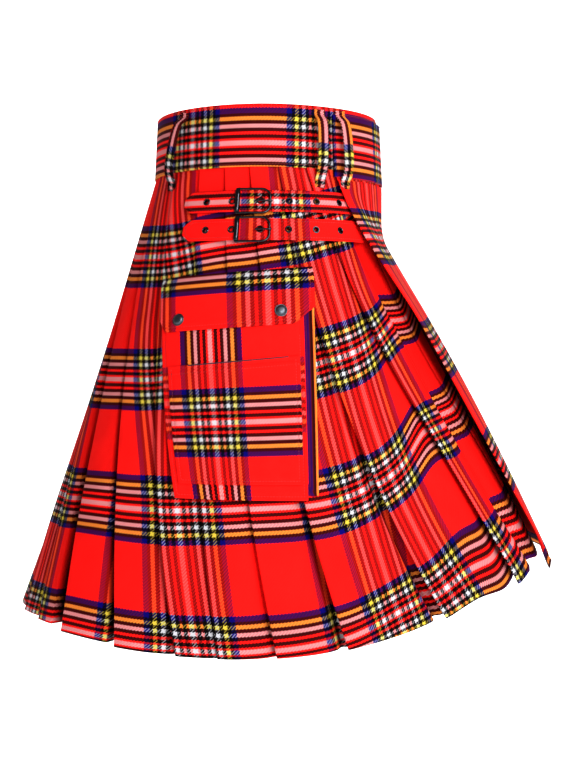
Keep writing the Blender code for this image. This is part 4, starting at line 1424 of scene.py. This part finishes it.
# %% Sizes of the pocket
POCKET_TOP_BACK, POCKET_TOP_FRONT = (129.0, -155.0 * MM), (75.3, -142.5 * MM)
POCKET_FOOT_BACK, POCKET_FOOT_FRONT = (112.2, -389.0 * MM), (78.6, -390.5 * MM)
POCKET_WIDE, POCKET_HIGH = 163.0, 234.0        # mm, to turn shares into distances
STITCH_INSET, STITCH_GROOVE = 4.0, 0.5         # mm from an edge to its stitch line, and how far that sinks in
PANEL_POINTS, PANEL_SWAY = 54, 0.5             # points each way, and how far the cloth swells, mm
FRONT_RIGHT, FRONT_OFFSET = 0.925, 6.1         # the front panel: its front edge, and mm that it stands off
PATCH_LEFT, PATCH_RIGHT, PATCH_FOOT, PATCH_OFFSET = 0.05, 0.895, 0.935, 8.3
STRIPE_ACROSS, SETT_ACROSS = 0.14, 0.405       # where a stripe group stands, and half a sett (shares across)
FRONT_STRIPE, FRONT_LEAN, FRONT_SETT = 0.418, 0.03, 0.325      # the same down the front panel, and its tilt
PATCH_STRIPE, PATCH_LEAN, PATCH_SETT = 0.521, 0.012, 0.30      # and down the patch
GUSSET_WIDTH, GUSSET_SPAN, GUSSET_OFFSET = 0.11, (0.01, 1.0, 0.08, 0.98), 3.97 * MM
GUSSET_SIDE_POINTS, GUSSET_FOOT_POINTS = 30, 24
GUSSET_ROUND = 0.5 * MM            # its outer edge is rounded off
GUSSET_THREAD, GUSSET_FOOT_THREAD = 112, 3.0   # threads of the check along the strip and at its foot, mm
GUSSET_FIRST, GUSSET_CUT = 11.5, 18            # mm: the thread at its outer edge, and how wide it was cut
FLAP_DROP, FLAP_RISE, FLAP_CORNER = 0.255, 0.01, 0.05
FLAP_OFFSET_TOP, FLAP_OFFSET = 4.2 * MM, 8.4 * MM
FLAP_BOW, FLAP_BOW_START, FLAP_BOW_SPAN = 1.4 * MM, 0.14, 0.65         # it bows out between its two snaps
FLAP_TOP_THREAD, FLAP_LENGTH = 52, 257         # thread at its seam, and mm of cloth for the pocket's height
SNAP_DIAMETER, SNAP_HEIGHT = 14.0 * MM, 3.0 * MM
SNAPS = [
    # name, across, down (shares of the pocket)
    ("snap_back", 0.14, 0.20),
    ("snap_front", 0.79, 0.185),
]
FLAP_THREADS = [
    # share across, thread mm
    (0.0, 56),
    (0.12, 76),
    (0.462, 152),
    (0.963, 228),
    (1.0, 233),
]
print("pocket:", POCKET_WIDE, "x", POCKET_HIGH, "mm")


# %% Points over the pocket
def pocket_point(across, down, offset):
    """A point over the pocket: across from its back edge, down from its seam, as shares."""
    corners = (POCKET_TOP_BACK, POCKET_TOP_FRONT, POCKET_FOOT_BACK, POCKET_FOOT_FRONT)
    weights = ((1 - across) * (1 - down), across * (1 - down), (1 - across) * down, across * down)
    direction = sum(weight * corner[0] for weight, corner in zip(weights, corners))
    height = sum(weight * corner[1] for weight, corner in zip(weights, corners))
    return skirt_point(direction, height, offset)


def pocket_frame(across, down, offset, before, after):
    """A point over the pocket and its way out, from its neighbours at these shares before and after it."""
    side = pocket_point(across + after, down, offset) - pocket_point(across - before, down, offset)
    below = pocket_point(across, down + after, offset) - pocket_point(across, down - before, offset)
    return pocket_point(across, down, offset), below.cross(side).normalized()


def pressed(rim):
    """Height of a turned-in edge, by distance from the rim in mm."""
    rolled = -0.45 * (1 - smoothstep(rim, 0.0, 1.4))
    groove = -STITCH_GROOVE * math.exp(-((rim - STITCH_INSET) / 1.0) ** 2)
    return (rolled + groove + 0.35 * math.exp(-((rim - 7.5) / 2.5) ** 2)) * MM


def close_shares(count, rim=0.06, near=9):
    """Shares that lie closer together near both ends, where the edge is pressed."""
    edge = [rim * n / near for n in range(near)]
    middle = [rim + (1 - 2 * rim) * share for share in shares(count - 2 * near)]
    return edge + middle + [1 - share for share in edge[::-1]]


def rim_distance(across, down, left, right, top, bottom):
    """How far a point lies from the nearest edge, mm."""
    return min((across - left) * POCKET_WIDE, (right - across) * POCKET_WIDE,
               (down - top) * POCKET_HIGH, (bottom - down) * POCKET_HIGH)


def flap_offset(across, part):
    """How far the flap stands off the skirt, at a share across and a share of its own drop."""
    bow = FLAP_BOW * smoothstep(part, 0.5, 1.0)
    bow *= math.sin(math.pi * (across - FLAP_BOW_START) / FLAP_BOW_SPAN) ** 2
    return between(FLAP_OFFSET_TOP, FLAP_OFFSET, smoothstep(part, 0.0, 0.2)) + bow


print("pressed edge:", [round(pressed(rim) / MM, 2) for rim in (0, 2, 4, 8)], "mm")


# %% Make the pocket panels
def upright_thread(across, down):
    """Cloth turned by a quarter: weft stripes stand upright."""
    return ((down - FRONT_STRIPE + FRONT_LEAN * across) / FRONT_SETT * SETT / 2,
            (across - STRIPE_ACROSS) / SETT_ACROSS * SETT / 2)


def straight_thread(across, down):
    return ((across - STRIPE_ACROSS) / SETT_ACROSS * SETT / 2,
            (down - PATCH_STRIPE + PATCH_LEAN * across) / PATCH_SETT * SETT / 2)


def make_panel(node, corners, offset, thread, length):
    """A pocket panel. corners: left, right, top at back and front, bottom; thread(across, down) in mm."""
    left, right, top_back, top_front, bottom = corners
    rows, threads = [], []
    for part_down in close_shares(PANEL_POINTS):
        row, line = [], []
        for part in close_shares(PANEL_POINTS):
            top = between(top_back, top_front, part)
            across, down = between(left, right, part), between(top, bottom, part_down)
            rim = rim_distance(across, down, left, right, top, bottom)
            sway = PANEL_SWAY * MM * noise.noise(Vector((across * 3.1, down * 3.6, offset)))
            row.append(pocket_point(across, down, offset * MM + pressed(rim) + sway * smoothstep(rim, 2, 20)))
            line.append([place * MM for place in thread(across, down)])
        rows.append(row)
        threads.append(line)
    make_cloth(node, rows, threads, length, "stretched", ["cloth_pleats_right"])


def make_gusset():
    """The side strip: down the back edge, along the foot and up the front edge, folded in from outside."""
    left, right, top, bottom = GUSSET_SPAN
    inner_left, inner_right = left + GUSSET_WIDTH, right - GUSSET_WIDTH
    inner_bottom = bottom - GUSSET_WIDTH * POCKET_WIDE / POCKET_HIGH
    line = [((left, between(top, bottom, part)), (inner_left, between(top, inner_bottom, part)))
            for part in shares(GUSSET_SIDE_POINTS)]
    line += [((between(left, right, part), bottom), (between(inner_left, inner_right, part), inner_bottom))
             for part in shares(GUSSET_FOOT_POINTS)[1:-1]]
    line += [((right, between(bottom, top, part)), (inner_right, between(inner_bottom, top, part)))
             for part in shares(GUSSET_SIDE_POINTS)]
    rows, threads = [], []
    for number, (outside, inside) in enumerate(line):
        row, strip, at_foot = [], [], GUSSET_SIDE_POINTS <= number < len(line) - GUSSET_SIDE_POINTS
        for part in shares(10):
            across, down = between(outside[0], inside[0], part), between(outside[1], inside[1], part)
            sunk = GUSSET_ROUND * (1 - smoothstep(part, 0.0, 0.12))
            row.append(pocket_point(across, down, GUSSET_OFFSET - sunk))
            thread = GUSSET_FOOT_THREAD if at_foot else GUSSET_FIRST - part * GUSSET_CUT
            strip.append((GUSSET_THREAD * MM, thread * MM))
        rows.append(row)
        threads.append(strip)
    make_cloth("pocket_gusset", rows, threads, 0.018, "folded")


patch_corners = (PATCH_LEFT, PATCH_RIGHT, 0.415, 0.385, PATCH_FOOT)
make_panel("pocket_back", (0.0, 0.985, 0.0, 0.0, 0.985), 1.85, straight_thread, 0.25)
make_panel("pocket_front", (0.0, FRONT_RIGHT, 0.055, 0.055, 1.0), FRONT_OFFSET, upright_thread, 0.25)
make_panel("pocket_patch", patch_corners, PATCH_OFFSET, straight_thread, 0.13)
make_gusset()

# %% Make the flap
def flap_edge(across):
    """How far down the flap reaches: its two lower corners are cut off."""
    if across < 0.5:
        cut = max(0.0, 1 - across / FLAP_CORNER)
        cut = cut * cut * (1.6 - 0.6 * cut)
    else:
        cut = 1.4 * max(0.0, 1 - (1 - across) / (2.6 * FLAP_CORNER))
    return FLAP_DROP - FLAP_RISE * across - FLAP_CORNER * cut


def flap_thread(across):
    row = next(i for i in range(len(FLAP_THREADS) - 1) if across <= FLAP_THREADS[i + 1][0])
    (start, first), (end, last) = FLAP_THREADS[row], FLAP_THREADS[row + 1]
    return first + (last - first) * (across - start) / (end - start)


def make_flap():
    rows, threads = [], []
    columns = close_shares(70, 0.10, 16)
    for part in close_shares(44, 0.14, 10):
        row, line = [], []
        for across in columns:
            reach = flap_edge(across)
            down = reach * part
            rim = min(across * POCKET_WIDE, (1 - across) * POCKET_WIDE, (reach - down) * POCKET_HIGH)
            row.append(pocket_point(across, down, flap_offset(across, part) + pressed(rim)))
            line.append((flap_thread(across) * MM, (FLAP_TOP_THREAD + down * FLAP_LENGTH) * MM))
        rows.append(row)
        threads.append(line)
    make_cloth("pocket_flap", rows, threads, 0.065, "hung", ["cloth_pocket_front"])


make_flap()

# %% Make the snaps
SNAP_PROFILE = [
    # radius, height as shares of the cap: flat rim, small step, dome
    (1.0, 0.0),
    (1.0, 0.16),
    (0.96, 0.24),
    (0.88, 0.26),
    (0.85, 0.22),
    (0.82, 0.34),
    (0.74, 0.62),
    (0.60, 0.82),
    (0.42, 0.94),
    (0.22, 0.99),
]
SNAP_SIDES = 32


def make_snap(name, across, down):
    """A pressed cap, turned round its middle and closed at its crown and foot."""
    at, out = pocket_frame(across, down, FLAP_OFFSET + CLOTH / 2 + SEAM_GAP, 0.0, 0.02)
    spin = out.to_track_quat("Z", "Y")
    cap = bmesh.new()
    rings = []
    for radius, high in SNAP_PROFILE:
        radius *= SNAP_DIAMETER / 2
        turns = [math.tau * n / SNAP_SIDES for n in range(SNAP_SIDES)]
        rings.append([cap.verts.new(at + spin @ Vector((radius * math.cos(t), radius * math.sin(t),
                                                        high * SNAP_HEIGHT))) for t in turns])
    for low, high in zip(rings, rings[1:]):
        for n in range(SNAP_SIDES):
            after = (n + 1) % SNAP_SIDES
            cap.faces.new((low[n], low[after], high[after], high[n]))
    crown = cap.verts.new(at + spin @ Vector((0, 0, SNAP_HEIGHT)))
    for n in range(SNAP_SIDES):
        cap.faces.new((rings[-1][n], rings[-1][(n + 1) % SNAP_SIDES], crown))
    cap.faces.new(rings[0][::-1])
    bmesh.ops.recalc_face_normals(cap, faces=cap.faces)
    mesh = bpy.data.meshes.new("metal_" + name)
    cap.to_mesh(mesh)
    cap.free()
    smooth(mesh)
    mesh.materials.append(SNAP_METAL)
    finish_piece(link(bpy.data.objects.new("metal_" + name, mesh)), "gunmetal", name)
    print(f"metal_{name}: {len(mesh.polygons)} faces")


for snap in SNAPS:
    make_snap(*snap)

# %% [markdown]
# ## Stitches
#
# Every edge is held by a row of machine stitches: a dark red thread that dips into the cloth every three
# millimetres. A tree walks along each seam and sets one small rounded stitch at every step, turned along
# the seam. A stitch has few faces, because there are hundreds of them.

# %% The tree for stitches
def sewing_thread(name, dark, light):
    """Twisted polyester thread: a soft gloss and a slightly uneven dye."""
    material, tree, shader = start_material(name)
    cloud = add(tree, "ShaderNodeTexNoise", {"noise_dimensions": "3D"}, Scale=900.0, Detail=2.0)
    tone = add(tree, "ShaderNodeMix", BLEND, i0=cloud, i6=linear(dark), i7=linear(light))
    tree.links.new(tone.outputs[2], shader.inputs["Base Color"])
    shader.inputs["Roughness"].default_value = 0.55
    return material


def stitch_tree():
    tree, given, out = tree_with_inputs("machine stitches", Pitch=0.0032, Length=0.0024, Thread=0.0007)
    line = add(tree, "GeometryNodeMeshToCurve", None, Mesh=given.outputs["Geometry"])
    steps = add(tree, "GeometryNodeResampleCurve", {"mode": "LENGTH"}, Curve=line,
                Length=given.outputs["Pitch"])
    along = add(tree, "GeometryNodeInputTangent")
    outward = add(tree, "GeometryNodeInputNamedAttribute", VECTOR_ATTRIBUTE, Name="outward")
    turn = add(tree, "FunctionNodeAxesToRotation", {"primary_axis": "Z", "secondary_axis": "X"},
               Primary_Axis=outward, Secondary_Axis=along)
    bead = add(tree, "GeometryNodeMeshUVSphere", None, Segments=6, Rings=5, Radius=0.5)
    size = add(tree, "ShaderNodeCombineXYZ", None, X=given.outputs["Length"], Y=given.outputs["Thread"],
               Z=given.outputs["Thread"])
    bead = add(tree, "GeometryNodeTransform", None, Geometry=bead, Scale=size)
    sewn = add(tree, "GeometryNodeInstanceOnPoints", None, Points=steps, Instance=bead, Rotation=turn)
    return close_tree(tree, given, out, sewn)


STITCHES = stitch_tree()
THREAD = sewing_thread("polyester_thread_dark_red", "#4A0506", "#8A1013")
EDGE_THREAD = sewing_thread("polyester_thread_navy", "#05030A", "#120A30")
THREAD_STAND = 0.1 * MM            # a stitch lies this far out of the cloth
print("stitch tree:", len(STITCHES.nodes), "nodes")


def sew(name, lines, thread=THREAD, **sizes):
    stitches = grow(name, guide_mesh("seam", lines), STITCHES, thread, **sizes)
    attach(stitches, "root")


# %% Sew the pocket
SEAM_POINT_STEP = 4                # mm between the points of a seam's guide


def pocket_seam(corners, offset):
    """A seam through corners (shares across and down) over a layer; its offset in mm, or a rule for it."""
    line = []
    for (a0, d0), (a1, d1) in zip(corners, corners[1:]):
        length = math.hypot((a1 - a0) * POCKET_WIDE, (d1 - d0) * POCKET_HIGH)
        for part in shares(max(2, round(length / SEAM_POINT_STEP)))[1 if line else 0:]:
            across, down = between(a0, a1, part), between(d0, d1, part)
            lift = offset(across, down) if callable(offset) else offset * MM
            lift += CLOTH / 2 - STITCH_GROOVE * MM + THREAD_STAND
            at, out = pocket_frame(across, down, lift, 0.01, 0.01)
            line.append({"at": at, "outward": out})
    return line


def open_frame(left, right, foot, top_left, top_right):
    """The corners of a seam down one edge, along the foot and up the other edge."""
    left, right, foot = left + IN_ACROSS, right - IN_ACROSS, foot - IN_DOWN
    return [(left, top_left), (left, foot), (right, foot), (right, top_right)]


IN_ACROSS, IN_DOWN = STITCH_INSET / POCKET_WIDE, STITCH_INSET / POCKET_HIGH
flap_foot = [(across, flap_edge(across) - 1.15 * IN_DOWN)
             for across in (0.03, 0.045, 0.07, 0.12, 0.3, 0.5, 0.7, 0.86)]
flap_foot += [(0.965, flap_edge(0.965) - 1.2 * IN_DOWN)]
sew("stitches_pocket", [
    pocket_seam(open_frame(PATCH_LEFT, PATCH_RIGHT, PATCH_FOOT, 0.42, 0.392), PATCH_OFFSET),
    pocket_seam([(0.06, 0.45), (0.885, 0.422)], PATCH_OFFSET + 0.5),
    pocket_seam(open_frame(0.0, FRONT_RIGHT, 1, 0.3, 0.3), FRONT_OFFSET),
    pocket_seam([(IN_ACROSS, 0.02), *flap_foot, (1 - IN_ACROSS, 0.15), (1 - IN_ACROSS, 0.02)],
                lambda across, down: flap_offset(across, down / flap_edge(across))),
    pocket_seam([(0.01, 0.012), (0.99, 0.012)], 5.2),
])

# a close, thick row of stitches in a dark thread runs along the patch's upper edge and draws a dark line there
sew("stitches_patch_edge", [pocket_seam([(0.2, 0.4108), (0.5, 0.4004), (0.82, 0.389)], PATCH_OFFSET + 0.3)],
    EDGE_THREAD, Pitch=0.0019, Thread=0.0016)

# %% Sew the straps, the band and the loops
SEAM_TIP = 13 * MM                 # how far from the strap's tip its seam turns in
BAND_SEAM_INSET = 2.4 * MM
TACKED = (1, 3, LOOP_POINTS - 3, LOOP_POINTS - 2)      # points of a loop's guide that are sewn down


def strap_seam(height):
    """Up one side of a strap, across its point and down the other side."""
    rim = STRAP_WIDTH / 2 - SEAM_INSET
    side = [(between(STRAP_ROOT, STRAP_TIP - SEAM_TIP, part), -rim) for part in shares(60)]
    side += [(STRAP_TIP - 4 * MM, -0.36 * rim)]
    places = side + [(along, -across) for along, across in side[::-1]]
    face = (1 - SEAM_PINCH) * STRAP_THICKNESS / 2 + THREAD_STAND
    return [strap_frame(along, across, strap_lift(along) + face, height) for along, across in places]


def band_seam(above):
    """Along the band's foot or, measured down from its top, along its head."""
    line = []
    for part in shares(300):
        direction = between(BAND[0][0] + 1, BAND[-1][0] - 1, part)
        edge = band_bottom(direction) if above > 0 else band_top(direction)
        offset = band_layer(direction) + BAND_THICKNESS / 2 + THREAD_STAND / 2
        line.append({"at": band_point(direction, edge + above, offset), "outward": around(direction, 1, 0)})
    return line


def bar_tacks(line):
    """Close stitches across a loop near its two ends."""
    tacks = []
    for place in TACKED:
        point = line[place]
        out = Vector(point["outward"])
        along = (line[place + 1]["at"] - line[place - 1]["at"]).normalized()
        side = along.cross(out) * (LOOP_WIDTH / 2 - 1.5 * MM)
        at = point["at"] + out * (LOOP_THICKNESS / 2 + THREAD_STAND)
        tacks.append([{"at": at + side * share, "outward": out} for share in (-1, -0.33, 0.33, 1)])
    return tacks


sew("stitches_straps", [strap_seam(height * MM) for _, height, _ in STRAPS])
sew("stitches_waistband", [band_seam(BAND_SEAM_INSET), band_seam(-BAND_SEAM_INSET)])
sew("stitches_belt_loops", [tack for line in loop_lines.values() for tack in bar_tacks(line)])
